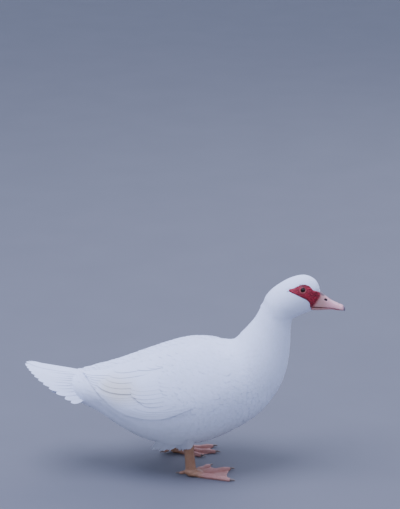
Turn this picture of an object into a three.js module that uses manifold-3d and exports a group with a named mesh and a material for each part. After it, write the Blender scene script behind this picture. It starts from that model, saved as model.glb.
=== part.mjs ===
// A muscovy duck hen, white, standing with her neck raised: a life-size still model.
// Millimetres, +Z up, bill towards +X, her left side towards +Y, feet on z = 0.

import * as THREE from "three";
import Module from "manifold-3d";
import { mergeVertices } from "three/addons/utils/BufferGeometryUtils.js";

const wasm = await Module();
wasm.setup();
const { Manifold, Mesh } = wasm;

// Driving sizes
const GAP = 0.35; // between neighbouring pieces
const BED = 6; // how deep the wings lie in the body's outline
const VANE = 0.9; // thickness of a flight feather
const BODY_SIDES = 22;
const HEAD_SIDES = 20;

// The body's outline, from the tail to the root of the bill. Each section is a ring that runs
// from a point on the back to a point on the belly, with its half width and how far, as a share
// of its half height, its widest level lies below the middle.
const SECTIONS = [
  { name: "tail end", back: [-207, 168], belly: [-197, 134], half: 26, low: 0 },
  { name: "tail root", back: [-186, 171.5], belly: [-176, 120], half: 36, low: 0 },
  { name: "rump", back: [-158, 177], belly: [-142, 103], half: 50, low: 0 },
  { name: "hips", back: [-114, 188], belly: [-104, 78], half: 70, low: 0.05 },
  { name: "loins", back: [-64, 206], belly: [-62, 56], half: 82, low: 0.08 },
  { name: "belly", back: [-14, 223], belly: [-16, 48], half: 86, low: 0.08 },
  { name: "back", back: [28, 231], belly: [34, 52], half: 86, low: 0.05 },
  { name: "shoulders", back: [63, 227.5], belly: [84, 73], half: 79, low: 0 },
  { name: "breast", back: [83, 227.5], belly: [126, 101], half: 66, low: 0 },
  { name: "neck root", back: [97, 241.5], belly: [154, 136], half: 51, low: 0 },
  { name: "low neck", back: [107, 253], belly: [168, 168], half: 41, low: 0 },
  { name: "mid neck", back: [117, 266], belly: [174, 198], half: 34.5, low: 0 },
  { name: "high neck", back: [124, 279], belly: [176, 225], half: 31, low: 0 },
  { name: "nape", back: [130, 291], belly: [176.5, 249], half: 28.5, low: 0 },
  { name: "jaw", back: [135, 304], belly: [180, 267], half: 28.5, low: 0 },
  { name: "occiput", back: [149, 319], belly: [191, 273], half: 29, low: 0 },
  { name: "crown", back: [174, 334.5], belly: [200, 276.5], half: 28.5, low: 0 },
  { name: "forehead", back: [198, 340], belly: [208, 279], half: 25.5, low: 0 },
  { name: "brow", back: [216, 332], belly: [213, 280.5], half: 20, low: 0 },
  { name: "bill root", back: [225, 315], belly: [216, 281], half: 14, low: 0 },
];
const section = (name) => SECTIONS.findIndex((s) => s.name === name);

// Small helpers
const clamp = (v, low, high) => Math.min(high, Math.max(low, v));
const mix = (a, b, t) => a + (b - a) * t;
const radians = THREE.MathUtils.degToRad;
const vec = (x, y, z) => new THREE.Vector3(x, y, z);

function smooth(from, to, v) {
  const t = clamp((v - from) / (to - from), 0, 1);
  return t * t * (3 - 2 * t);
}

// A seeded draw, the same on each run
function draws(seed) {
  let state = seed;
  return (low, high) => {
    state = (state * 16807) % 2147483647;
    return low + (high - low) * (state / 2147483647);
  };
}

// A smooth curve through a list of equal-length rows of numbers
function through(rows, u) {
  const last = rows.length - 1;
  const at = clamp(u, 0, last);
  const i = Math.min(Math.floor(at), last - 1);
  const t = at - i;
  const [p0, p1, p2, p3] = [i - 1, i, i + 1, i + 2].map((k) => rows[clamp(k, 0, last)]);
  return p1.map((b, k) => {
    const [a, c, d] = [p0[k], p2[k], p3[k]];
    return b + 0.5 * t * (c - a + t * (2 * a - 5 * b + 4 * c - d + t * (3 * (b - c) + d - a)));
  });
}

// The body's surface: u counts sections, phi is the angle from the back's midline, towards
// side = 1 (left) or -1 (right)
const SECTION_ROWS = SECTIONS.map((s) => [...s.back, ...s.belly, s.half, s.low]);

function bodyPoint(u, phi, side = 1) {
  const [bx, bz, lx, lz, half, low] = through(SECTION_ROWS, u);
  const k = Math.cos(phi) - low * Math.sin(phi) ** 2;
  const x = (bx + lx) / 2 + ((bx - lx) / 2) * k;
  const z = (bz + lz) / 2 + ((bz - lz) / 2) * k;
  return vec(x, side * half * Math.sin(phi), z);
}

// A cut straight across the body at one section number
const across = (u) => () => u;

const STEP = 1e-3;
function bodyFrame(u, phi, side) {
  const lengthwise = bodyPoint(u + STEP, phi, side).sub(bodyPoint(u - STEP, phi, side));
  const round = bodyPoint(u, phi + STEP, side).sub(bodyPoint(u, phi - STEP, side));
  lengthwise.divideScalar(2 * STEP);
  round.divideScalar(2 * STEP);
  const normal = lengthwise.clone().cross(round).multiplyScalar(side).normalize();
  return { lengthwise, round, normal };
}

// How far the bed of the wings is sunk below the outline. Ahead of the tail's root the backbone is
// left standing between the two wings.
function bedDepth(u, phi) {
  const along = smooth(0.4, 2.2, u) * (1 - smooth(7.2, 8.8, u));
  const beside = mix(1, clamp((phi - radians(6)) / radians(18), 0, 1), smooth(0.8, 2.4, u));
  return BED * along * beside * (1 - smooth(radians(96), radians(128), phi));
}

function onBed(u, phi, side, height) {
  const { normal } = bodyFrame(u, phi, side);
  return bodyPoint(u, phi, side).addScaledVector(normal, height - bedDepth(u, phi));
}

// The section number where the surface at angle phi reaches x
function sectionAt(x, phi) {
  let [low, high] = [0, section("high neck")];
  for (let i = 0; i < 40; i++) {
    const middle = (low + high) / 2;
    if (bodyPoint(middle, phi).x < x) low = middle;
    else high = middle;
  }
  return (low + high) / 2;
}

// Closed solids from rings of points, all rings with the same number of points
function ringSolid(rings) {
  const n = rings[0].length;
  const points = rings.flat();
  const faces = [];
  for (let r = 0; r + 1 < rings.length; r++)
    for (let k = 0; k < n; k++) {
      const [a, b] = [r * n + k, r * n + ((k + 1) % n)];
      faces.push([a, b, b + n], [a, b + n, a + n]);
    }
  for (const [r, turn] of [[0, -1], [rings.length - 1, 1]]) {
    const middle = points.length;
    points.push(rings[r].reduce((s, p) => s.add(p), vec(0, 0, 0)).divideScalar(n));
    for (let k = 0; k < n; k++) {
      const [a, b] = [r * n + k, r * n + ((k + 1) % n)];
      faces.push(turn > 0 ? [a, b, middle] : [b, a, middle]);
    }
  }
  return solidOf(points, faces);
}

function solidOf(points, faces) {
  const build = (tris) =>
    new Manifold(
      new Mesh({
        numProp: 3,
        vertProperties: new Float32Array(points.flatMap((p) => [p.x, p.y, p.z])),
        triVerts: new Uint32Array(tris.flat()),
      }),
    );
  const made = build(faces);
  return made.volume() > 0 ? made : build(faces.map(([a, b, c]) => [a, c, b]));
}

function geometrySolid(geometry) {
  const bare = geometry.clone();
  bare.deleteAttribute("normal");
  bare.deleteAttribute("uv");
  const merged = mergeVertices(bare, 1e-4);
  const { position } = merged.attributes;
  const points = Array.from({ length: position.count }, (_, i) =>
    new THREE.Vector3().fromBufferAttribute(position, i),
  );
  const faces = [];
  for (let i = 0; i < merged.index.count; i += 3)
    faces.push([0, 1, 2].map((k) => merged.index.getX(i + k)));
  return solidOf(points, faces);
}

const join = (pieces) => pieces.reduce((all, piece) => all.add(piece));

// A node keeps only its largest closed surface
function largest(solid) {
  return solid.decompose().reduce((best, s) => (s.volume() > best.volume() ? s : best));
}

// A tube through stations { at: Vector3, across: half width, up: half height }. Its sections
// stand square to the path, with their width kept level.
function tube(stations, sides) {
  const rings = stations.map((s, i) => {
    const before = stations[Math.max(i - 1, 0)].at;
    const after = stations[Math.min(i + 1, stations.length - 1)].at;
    const along = after.clone().sub(before).normalize();
    const reference = Math.abs(along.z) > 0.9 ? vec(1, 0, 0) : vec(0, 0, 1);
    const level = reference.clone().cross(along).normalize();
    const rise = along.clone().cross(level);
    return Array.from({ length: sides }, (_, k) => {
      const turn = (2 * Math.PI * (k + 0.5)) / sides;
      return s.at
        .clone()
        .addScaledVector(level, s.across * Math.cos(turn))
        .addScaledVector(rise, s.up * Math.sin(turn));
    });
  });
  return ringSolid(rings);
}

function ellipsoid(centre, sizes, detail = 1) {
  const shape = new THREE.SphereGeometry(1, 4 + 2 * detail, 3 + detail);
  shape.scale(...sizes).translate(centre.x, centre.y, centre.z);
  return geometrySolid(shape);
}

// A length of the body sunk by inset(u, phi). It runs between two section numbers, which from(phi)
// and to(phi) give for each angle.
function bodyLength(from, to, steps, segments, inset) {
  const rings = [];
  for (let i = 0; i <= steps; i++) {
    rings.push(
      Array.from({ length: segments }, (_, k) => {
        const turn = (2 * Math.PI * (k + 0.5)) / segments;
        const side = turn < Math.PI ? 1 : -1;
        const phi = side > 0 ? turn : 2 * Math.PI - turn;
        const u = mix(from(phi), to(phi), i / steps);
        const { normal } = bodyFrame(u, phi, side);
        return bodyPoint(u, phi, side).addScaledVector(normal, -inset(u, phi));
      }),
    );
  }
  return ringSolid(rings);
}

// A feather: a thin curved plate, its two faces split into triangles alike.
// place(s, across, height) gives a point s of the way along, across in mm from the shaft.
const FEATHER_SHAPE = [[0, 0.5], [0.45, 1], [0.84, 0.88], [1, 0.2]];
const COVERT_SHAPE = [[0, 0.75], [0.62, 1], [1, 0.3]];

function feather(place, { half, thick = VANE, shape = FEATHER_SHAPE }) {
  const rings = shape.map(([s, share]) => {
    const w = half * share;
    const t = s > 0.95 ? thick * 0.6 : thick;
    return [place(s, -w, 0), place(s, w, 0), place(s, w, t), place(s, -w, t)];
  });
  return ringSolid(rings);
}

// A feather that lies on the wing's bed, from its root to its tip, each [x, degrees from the
// back's midline]. lift raises it off the bed at root and tip, and tilt lifts its upper edge.
function wingFeather(side, { root, tip, half, lift, tilt = 0.06, bow = 0, ...looks }) {
  const ends = [root, tip].map(([x, deg]) => [sectionAt(x, radians(deg)), radians(deg)]);
  const place = (s, across, height) => {
    const u = mix(ends[0][0], ends[1][0], s);
    const phi = mix(ends[0][1], ends[1][1], s) + radians(bow) * Math.sin(Math.PI * s);
    const { lengthwise, round } = bodyFrame(u, phi, side);
    const turn = (ends[1][1] - ends[0][1]) + radians(bow) * Math.PI * Math.cos(Math.PI * s);
    const along = lengthwise
      .clone()
      .multiplyScalar(ends[1][0] - ends[0][0])
      .addScaledVector(round, turn)
      .normalize();
    const shareLong = -along.dot(round.clone().normalize());
    const shareRound = along.dot(lengthwise.clone().normalize());
    const u2 = u + (across * shareLong) / lengthwise.length();
    const phi2 = clamp(phi + (across * shareRound) / round.length(), radians(1.5), Math.PI);
    const off = mix(lift[0], lift[1], s) + tilt * across + height;
    return onBed(u2, phi2, side, off);
  };
  return feather(place, { half, ...looks });
}

// Wing

const WING_FRONT = 92;
const WING_BACK = -112;
const WING_ARM_RINGS = 8;
const WING_ARM_COLUMNS = 5;

// Upper and lower edge of the wing's covert shell, in degrees, by x
function shellEdges(x) {
  const t = (WING_FRONT - x) / (WING_FRONT - WING_BACK);
  const round = Math.sqrt(clamp(1 - (1 - clamp(t / 0.22, 0, 1)) ** 2, 0, 1));
  const [middle, upper, lower] = [mix(56, 60, t), mix(12, 16, t), mix(97, 92, t)];
  return [mix(middle, upper, 0.25 + 0.75 * round), mix(middle, lower, 0.2 + 0.8 * round)];
}

// The closed shell of the folded forearm and its small coverts
function wingShell(side) {
  const rings = [];
  for (let i = 0; i <= WING_ARM_RINGS; i++) {
    const t = i / WING_ARM_RINGS;
    const x = mix(WING_FRONT, WING_BACK, t);
    const [upper, lower] = shellEdges(x);
    const dome = mix(2.2, 6.6, smooth(0, 0.25, t)) * (1 - 0.72 * smooth(0.45, 1, t));
    const outer = [];
    const inner = [];
    for (let k = 0; k <= WING_ARM_COLUMNS; k++) {
      const q = k / WING_ARM_COLUMNS;
      const phi = radians(mix(upper, lower, q));
      const u = sectionAt(x, phi);
      const crown = Math.sin(Math.PI * clamp(0.1 + 0.8 * q, 0, 1)) ** 0.7;
      inner.push(onBed(u, phi, side, 0.75));
      outer.push(onBed(u, phi, side, 0.75 + Math.max(1, dome * crown)));
    }
    rings.push([...inner, ...outer.reverse()]);
  }
  return ringSolid(rings);
}

// Tiers of feathers, from the innermost out
function wing(side) {
  const vanes = [];
  const tier = (count, make) => {
    for (let i = 0; i < count; i++) vanes.push(wingFeather(side, make(i / (count - 1), i)));
  };
  // Primaries: long, narrow, their tips stepped along the rear edge up to the tail's root
  tier(5, (t) => ({
    root: [-62, mix(66, 30, t)],
    tip: [mix(-150, -169, t ** 0.8), mix(62, 12, t)],
    half: 11,
    lift: [1.6, mix(1.2, 4.6, t)],
    tilt: -0.1,
  }));
  // Secondaries: the lower rear edge
  tier(5, (t) => ({
    root: [-48, mix(92, 58, t)],
    tip: [mix(-118, -149, t ** 0.6), mix(104, 66, t)],
    half: 11.5,
    lift: [2.2, mix(1.5, 3.4, t)],
    tilt: -0.09,
  }));
  // Tertials: broad, over the back's side
  tier(4, (t) => ({
    root: [-30, mix(56, 26, t)],
    tip: [mix(-146, -118, t), mix(50, 20, t)],
    half: 12.5,
    lift: [3, mix(4.2, 5.2, t)],
    tilt: -0.08,
  }));
  // Greater coverts
  tier(6, (t) => ({
    root: [-18, mix(90, 40, t)],
    tip: [mix(-62, -84, Math.sin(Math.PI * t)), mix(97, 38, t)],
    half: 9,
    lift: [4.2, mix(3.6, 5.4, Math.sin(Math.PI * t))],
    shape: COVERT_SHAPE,
    tilt: -0.08,
  }));
  // Scapulars: along the upper edge
  tier(3, (t) => ({
    root: [mix(58, -40, t), mix(26, 20, t)],
    tip: [mix(-2, -98, t), mix(19, 13, t)],
    half: mix(11, 10, t),
    lift: [mix(3.6, 2.6, t), mix(5.4, 4.2, t)],
    shape: COVERT_SHAPE,
    tilt: -0.04,
  }));
  return largest(join([wingShell(side), ...vanes]));
}

// Tail

const TAIL_CUT = 1.9; // section number where the tail leaves the torso
const RECTRICES = 6; // pairs
// Root and tip of the innermost and outermost tail feather of one side
const TAIL_TIPS = [
  [-266.5, 7, 186], [-260, 22, 182.5], [-246, 38, 173], [-222, 48, 156.5], [-188, 51, 134],
];
const TAIL_ROOTS = [
  [-172, 4, 170], [-172, 10, 167], [-171, 17, 160], [-168, 23, 150], [-162, 27, 139],
];

function freeFeather(root, tip, up, { half, sag = 0, roll = 0, ...looks }) {
  const along = tip.clone().sub(root);
  const axis = along.clone().normalize();
  const across = axis.clone().cross(up).normalize();
  const normal = across.clone().cross(axis).normalize();
  const turned = across.clone().applyAxisAngle(axis, roll);
  const face = normal.clone().applyAxisAngle(axis, roll);
  const place = (s, a, height) =>
    root
      .clone()
      .addScaledVector(along, s)
      .addScaledVector(normal, -sag * Math.sin(Math.PI * s))
      .addScaledVector(turned, a)
      .addScaledVector(face, height - (a * a) / 130);
  return feather(place, { half, ...looks });
}

function tail() {
  const core = bodyLength(across(0), across(TAIL_CUT - 0.02), 4, BODY_SIDES, bedDepth);
  const vanes = [];
  for (const side of [1, -1])
    for (let i = 0; i < RECTRICES; i++) {
      const t = (i / (RECTRICES - 1)) * (TAIL_TIPS.length - 1);
      const [tip, root] = [TAIL_TIPS, TAIL_ROOTS].map((rows) => {
        const [x, y, z] = through(rows, t);
        return vec(x, side * y, z);
      });
      const lean = radians(mix(14, 62, i / (RECTRICES - 1)));
      const up = vec(0, side * Math.sin(lean), Math.cos(lean));
      // The left feathers lie a little over the right ones at the middle
      root.z += side > 0 ? 0.8 : -0.8;
      tip.z += side > 0 ? 0.8 : -0.8;
      vanes.push(
        freeFeather(root, tip, up, {
          half: mix(12.5, 10, i / (RECTRICES - 1)),
          sag: 1,
          roll: side * radians(9),
        }),
      );
    }
  // Coverts over and under the roots
  for (const side of [1, -1])
    for (const t of [0, 0.5, 1]) {
      const lean = radians(mix(12, 70, t));
      const up = vec(0, side * Math.sin(lean), Math.cos(lean));
      const start = vec(-172, side * mix(6, 27, t), mix(171, 152, t));
      const end = vec(mix(-222, -206, t), side * mix(7, 36, t), mix(180.5, 154, t));
      vanes.push(freeFeather(start, end, up, { half: 10, shape: COVERT_SHAPE, thick: 1.1 }));
      if (t === 0.5) continue;
      const down = vec(0, side * mix(0.25, 0.8, t), -1);
      const low = vec(-172, side * mix(5, 20, t), mix(126, 134, t));
      const out = vec(mix(-222, -210, t), side * mix(6, 24, t), mix(134, 139, t));
      vanes.push(freeFeather(low, out, down, { half: 10, shape: COVERT_SHAPE, thick: 1.1 }));
    }
  return largest(join([core, ...vanes]));
}

// Head, with the bare skin of the face, the eyes and the bill

// Section number of the line where the head's feathers end on the neck, lower at the nape
const crease = (phi) => 13.4 - 0.95 * Math.cos(phi);
const EYE = { x: 194.5, y: 19.6, z: 322, radius: 6.2 };
const FACE_DEPTH = 2;
const FACE_PROUD = 0.7;
// The plane where the bill meets the head, through its top and the corner of the mouth
const BILL_TOP = [226.5, 312];
const BILL_CORNER = [212.5, 284];
const billNormal = vec(BILL_TOP[1] - BILL_CORNER[1], 0, BILL_CORNER[0] - BILL_TOP[0]).normalize();
const billOffset = billNormal.dot(vec(BILL_TOP[0], 0, BILL_TOP[1]));

// Outline of the bare skin from the side, from its rear point over the eye to the bill and back
const FACE_OUTLINE = [
  [171, 321.6], [181.6, 325.6], [191.5, 330.2], [199.5, 330.2], [206.8, 326.6], [211, 321.5],
  [217, 317.5], [223, 314.5], [230, 308], [222, 296.5], [214, 286.5], [209.6, 288.5],
  [207, 299.5], [201, 306.5], [192.5, 311.5], [183, 316.2],
];

function facePrism(grow) {
  const count = FACE_OUTLINE.length;
  const outline = FACE_OUTLINE.map(([x, z], i) => {
    const [before, after] = [FACE_OUTLINE[(i + count - 1) % count], FACE_OUTLINE[(i + 1) % count]];
    const outward = new THREE.Vector2(before[1] - after[1], after[0] - before[0]);
    return outward.setLength(grow).add(new THREE.Vector2(x, z));
  });
  const curve = new THREE.CatmullRomCurve3(
    outline.map((p) => vec(p.x, p.y, 0)), true, "catmullrom", 0.35,
  );
  const shape = new THREE.Shape(curve.getPoints(22).slice(0, -1).map((p) => new THREE.Vector2(p.x, p.y)));
  const prism = new THREE.ExtrudeGeometry(shape, { depth: 90, bevelEnabled: false });
  prism.rotateX(Math.PI / 2).translate(0, 45, 0);
  return geometrySolid(prism);
}

// The head's shape: the body's outline with the cheeks filled out, sunk by inset
function headShape(inset) {
  return bodyLength(crease, across(section("bill root")), 11, HEAD_SIDES, (u, phi) => {
    const cheek = Math.exp(-(((u - 15.2) / 1.3) ** 2) - (((phi - radians(112)) / 0.75) ** 2));
    const ruff = 1 - smooth(0, 0.8, u - crease(phi));
    return inset - 1.6 * cheek - 1.1 * ruff;
  });
}

const eyeCentre = (side) => vec(EYE.x, side * EYE.y, EYE.z);
const ball = (side, radius) => {
  const shape = new THREE.SphereGeometry(radius, 12, 8);
  shape.translate(...eyeCentre(side).toArray());
  return geometrySolid(shape);
};

// Upper and lower lid: a ridge round the eye, a little longer than high
function lids(side) {
  const stations = [];
  const count = 12;
  for (let i = 0; i < count; i++) {
    const turn = (2 * Math.PI * i) / count;
    const at = vec(
      EYE.x + 5.3 * Math.cos(turn) + 0.5,
      side * (EYE.y + 4.1 - 0.5 * Math.cos(turn)),
      EYE.z + 4.5 * Math.sin(turn),
    );
    stations.push(at);
  }
  const curve = new THREE.CatmullRomCurve3(stations, true);
  const ring = new THREE.TorusGeometry(1, 0.3, 4, count);
  ring.scale(1, 1, 1);
  const { position } = ring.attributes;
  // The torus is laid along the lid's own curve
  const middle = eyeCentre(side).setY(side * (EYE.y + 4.1));
  for (let i = 0; i < position.count; i++) {
    const p = new THREE.Vector3().fromBufferAttribute(position, i);
    const turn = (Math.atan2(p.y, p.x) / (2 * Math.PI) + 1) % 1;
    const rim = curve.getPoint(turn);
    const out = rim.clone().sub(middle).setLength((Math.hypot(p.x, p.y) - 1) * 5.2);
    position.setXYZ(i, rim.x + out.x, rim.y + out.y + side * p.z * 4.6, rim.z + out.z);
  }
  return geometrySolid(ring);
}

// Caruncles: small warts on the bare skin, larger towards the root of the bill
function caruncles() {
  const draw = draws(7);
  const warts = [];
  const rows = [
    { from: [204, 324.5], to: [218, 315], count: 2, size: 1.9 },
    { from: [203, 317], to: [219, 305], count: 2, size: 2.1 },
    { from: [200, 311], to: [213, 296], count: 2, size: 1.8 },
  ];
  for (const side of [1, -1])
    for (const row of rows)
      for (let i = 0; i < row.count; i++) {
        const t = i / (row.count - 1);
        const x = mix(row.from[0], row.to[0], t) + draw(-0.6, 0.6);
        const z = mix(row.from[1], row.to[1], t) + draw(-0.6, 0.6);
        const size = row.size * mix(0.75, 1.15, t) * draw(0.9, 1.15);
        warts.push(ellipsoid(faceSkinPoint(x, z, side), [size * 1.3, size * 0.9, size * 1.1], 1));
      }
  return warts;
}

// The point of the head's side at x, z, found along the ring whose plane holds it
function faceSkinPoint(x, z, side) {
  let best = null;
  for (let u = 15; u <= 19; u += 0.05)
    for (let deg = 20; deg <= 150; deg += 2) {
      const p = bodyPoint(u, radians(deg), side);
      const miss = Math.hypot(p.x - x, p.z - z);
      if (!best || miss < best.miss) best = { miss, p };
    }
  return best.p;
}

function headPieces() {
  const core = headShape(FACE_DEPTH);
  const sockets = join([1, -1].map((side) => ball(side, EYE.radius + GAP)));
  const behindBill = (solid, gap) => solid.trimByPlane(billNormal.clone().negate().toArray(), gap - billOffset);
  const skin = headShape(-FACE_PROUD).intersect(facePrism(0)).subtract(core);
  const face = join([skin, lids(1), lids(-1), ...caruncles()])
    .intersect(facePrism(0))
    .subtract(core)
    .subtract(sockets);
  const recess = facePrism(1.4 * GAP).subtract(headShape(FACE_DEPTH + GAP));
  const feathered = headShape(0).subtract(recess).subtract(sockets);
  return {
    face: largest(behindBill(face, GAP / 2)),
    head: largest(behindBill(feathered, GAP / 2)),
  };
}

// Bill: stations along x with the height of the culmen, of the cutting edge, and half width
const BILL = [
  { x: 206, top: 318, edge: 289.5, half: 14 },
  { x: 216, top: 315.5, edge: 288, half: 13.4 },
  { x: 226, top: 311.5, edge: 286.6, half: 12.4 },
  { x: 233, top: 305, edge: 286.2, half: 11.4 },
  { x: 241, top: 298.4, edge: 285.6, half: 10.9 },
  { x: 249, top: 293.8, edge: 284.4, half: 11 },
  { x: 257, top: 290, edge: 282.2, half: 10.6 },
  { x: 262.5, top: 287, edge: 280, half: 8 },
  { x: 265.4, top: 285, edge: 278.6, half: 4.6 },
  { x: 266.5, top: 282.6, edge: 278.4, half: 1.8 },
];
const BILL_SIDES = 16;

function billUpper() {
  const rings = BILL.map(({ x, top, edge, half }) =>
    Array.from({ length: BILL_SIDES }, (_, k) => {
      const turn = (2 * Math.PI * (k + 0.5)) / BILL_SIDES;
      const [c, s] = [Math.cos(turn), Math.sin(turn)];
      const rise = (top - edge) * 0.86;
      const sink = (top - edge) * 0.14;
      const level = edge + sink;
      return vec(x, half * Math.sign(c) * Math.abs(c) ** 0.8, level + (s > 0 ? rise : sink) * s);
    }),
  );
  const nostrils = [1, -1].map((side) => {
    const hole = ellipsoid(vec(0, 0, 0), [3.4, 2.6, 1.7], 2);
    return hole.rotate([0, 22, 0]).translate([234, side * 9.4, 299.6]);
  });
  const nail = ellipsoid(vec(260.5, 0, 285.6), [6, 5.2, 3.4], 2).rotate([0, 0, 0]);
  const ahead = ringSolid(rings).trimByPlane(billNormal.toArray(), billOffset + GAP / 2);
  return largest(ahead.add(nail).subtract(join(nostrils)));
}

function billLower() {
  const rings = BILL.slice(0, -1).map(({ x, edge, half }, i) => {
    const taper = x > 260 ? 0.55 : 1;
    const deep = mix(6.8, 3, smooth(206, 262, x)) * taper;
    const width = (half - 1.1) * (i === BILL.length - 2 ? 0.4 : 1);
    const ceiling = edge - 0.55;
    return Array.from({ length: 14 }, (_, k) => {
      const turn = (2 * Math.PI * (k + 0.5)) / 14;
      const [c, s] = [Math.cos(turn), Math.sin(turn)];
      return vec(x - 2.2, width * Math.sign(c) * Math.abs(c) ** 0.7, ceiling + (s > 0 ? -0.2 * (1 - s) : deep * s));
    });
  });
  const chinPlane = vec(1, 0, 0);
  const jaw = ringSolid(rings);
  return largest(jaw.trimByPlane(billNormal.toArray(), billOffset + GAP / 2).trimByPlane(chinPlane.toArray(), 200));
}

// Legs

const LEGS = [
  {
    name: "right",
    side: -1,
    thigh: [-18, -55, 79],
    ankle: [6, -46, 62],
    base: [10, -44, 9],
    toes: [50, 20, -18.6],
  },
  {
    name: "left",
    side: 1,
    thigh: [-37, 49, 79],
    ankle: [-15, 53, 62],
    base: [-18, 58, 9],
    toes: [24, 3.5, -18],
  },
];
// Inner, middle and outer toe: length from the foot's base to the root of the claw
const TOES = [
  { id: 2, reach: 49 },
  { id: 3, reach: 70 },
  { id: 4, reach: 69 },
];
const CLAW = 8.5;
const WEB = 1.5;

// The heading of a toe: degrees inward from straight ahead
function toeHeading(leg, index) {
  const turn = radians(leg.toes[index]) * -leg.side;
  return vec(Math.cos(turn), Math.sin(turn), 0);
}

function toePath(leg, index) {
  const heading = toeHeading(leg, index);
  const base = vec(...leg.base).setZ(0);
  const reach = TOES[index].reach;
  return [0, 0.25, 0.5, 0.66, 0.84, 1].map((s) => {
    const knuckle = s === 0.5 || s === 0.84 ? 0.7 : 0;
    const radius = mix(5.4, 3, s) + knuckle;
    return {
      at: base.clone().addScaledVector(heading, s * reach).setZ(radius * 0.82 + (s < 0.1 ? 2.5 : 0)),
      across: radius,
      up: radius,
    };
  });
}

// The web between two toes: a thin sheet whose front edge is drawn in
function web(leg, a, b) {
  const base = vec(...leg.base).setZ(0);
  const [first, second] = [a, b].map((i) => toeHeading(leg, i).multiplyScalar(TOES[i].reach - 1));
  const steps = 6;
  const rings = [];
  for (let i = 0; i <= steps; i++) {
    const t = i / steps;
    const toe = first.clone().lerp(second, t);
    const reach = mix(first.length(), second.length(), t) * (1 - 0.12 * Math.sin(Math.PI * t));
    toe.setLength(reach);
    const rows = [0.12, 0.5, 0.8, 1];
    const lower = rows.map((s) => base.clone().addScaledVector(toe, s).setZ(-0.6));
    const upper = rows.map((s) => base.clone().addScaledVector(toe, s).setZ(mix(3, WEB, s)));
    rings.push([...lower, ...upper.reverse()]);
  }
  return ringSolid(rings);
}

function foot(leg) {
  const toes = TOES.map((_, i) => tube(toePath(leg, i), 7));
  const hind = vec(-0.9, -leg.side * 0.25, 0).normalize();
  const base = vec(...leg.base);
  const hallux = tube(
    [0, 0.4, 0.75, 1].map((s) => ({
      at: base.clone().addScaledVector(hind, 4 + 15 * s).setZ(mix(8, 3.4, s)),
      across: mix(3.4, 2.2, s),
      up: mix(3.4, 2.2, s),
    })),
    7,
  );
  const heel = ellipsoid(base.clone().setZ(5.5), [8, 7.4, 6.4], 1);
  const all = join([...toes, web(leg, 0, 1), web(leg, 1, 2), hallux, heel]);
  const top = leg.base[2] + 2.4;
  return largest(all.trimByPlane([0, 0, 1], 0).trimByPlane([0, 0, -1], -top));
}

function claw(root, heading, length, radius) {
  const stations = [0, 0.35, 0.7, 1].map((s) => ({
    at: root.clone().addScaledVector(heading, length * s).setZ(root.z + 1.1 * Math.sin(2.2 * s) - 1.6 * s * s),
    across: mix(radius * 0.8, 0.4, s),
    up: mix(radius, 0.45, s),
  }));
  return tube(stations, 6).trimByPlane(heading.toArray(), heading.dot(root));
}

function claws(leg) {
  const made = {};
  TOES.forEach((toe, i) => {
    const heading = toeHeading(leg, i);
    const root = vec(...leg.base).addScaledVector(heading, toe.reach + GAP).setZ(2.9);
    made[`claw_${leg.name}_${toe.id}`] = claw(root, heading, CLAW, 2.2);
  });
  const hind = vec(-0.9, -leg.side * 0.25, 0).normalize();
  const root = vec(...leg.base).addScaledVector(hind, 19.4 + GAP).setZ(3.2);
  made[`claw_${leg.name}_1`] = claw(root, hind, 6.5, 1.8);
  return made;
}

function shank(leg, grow = 0) {
  const base = vec(...leg.base);
  const ankle = vec(...leg.ankle).add(vec(0, 0, 2 * grow));
  const bottom = base.clone().setZ(base.z + 2.4 + GAP - grow);
  const stations = [
    [0, 8.4, 6.6], [0.12, 8, 6.2], [0.45, 7.6, 5.8], [0.7, 7.7, 6], [0.88, 8.4, 6.9], [1, 8, 6.5],
  ].map(([s, up, across]) => ({
    at: bottom.clone().lerp(ankle, s),
    across: across + grow,
    up: up + grow,
  }));
  const made = tube(stations, 10);
  return grow ? made : made.trimByPlane([0, 0, 1], bottom.z);
}

const LOCK_SHAPE = [[0, 0.8], [0.45, 1], [0.8, 0.62], [1, 0.12]];
// Root, tip and half width of each feather that hangs from the thigh, measured from the thigh's
// middle with outwards positive
const THIGH_LOCKS = [
  [[-10, 8, -5], [-31, 5, -26], 5.6],
  [[0, 8, -7], [-18, 5, -29], 5.8],
  [[11, 6, -9], [-5, 3, -28], 5.6],
  [[-4, -2, -11], [-22, -5, -26], 5.4],
];

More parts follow.
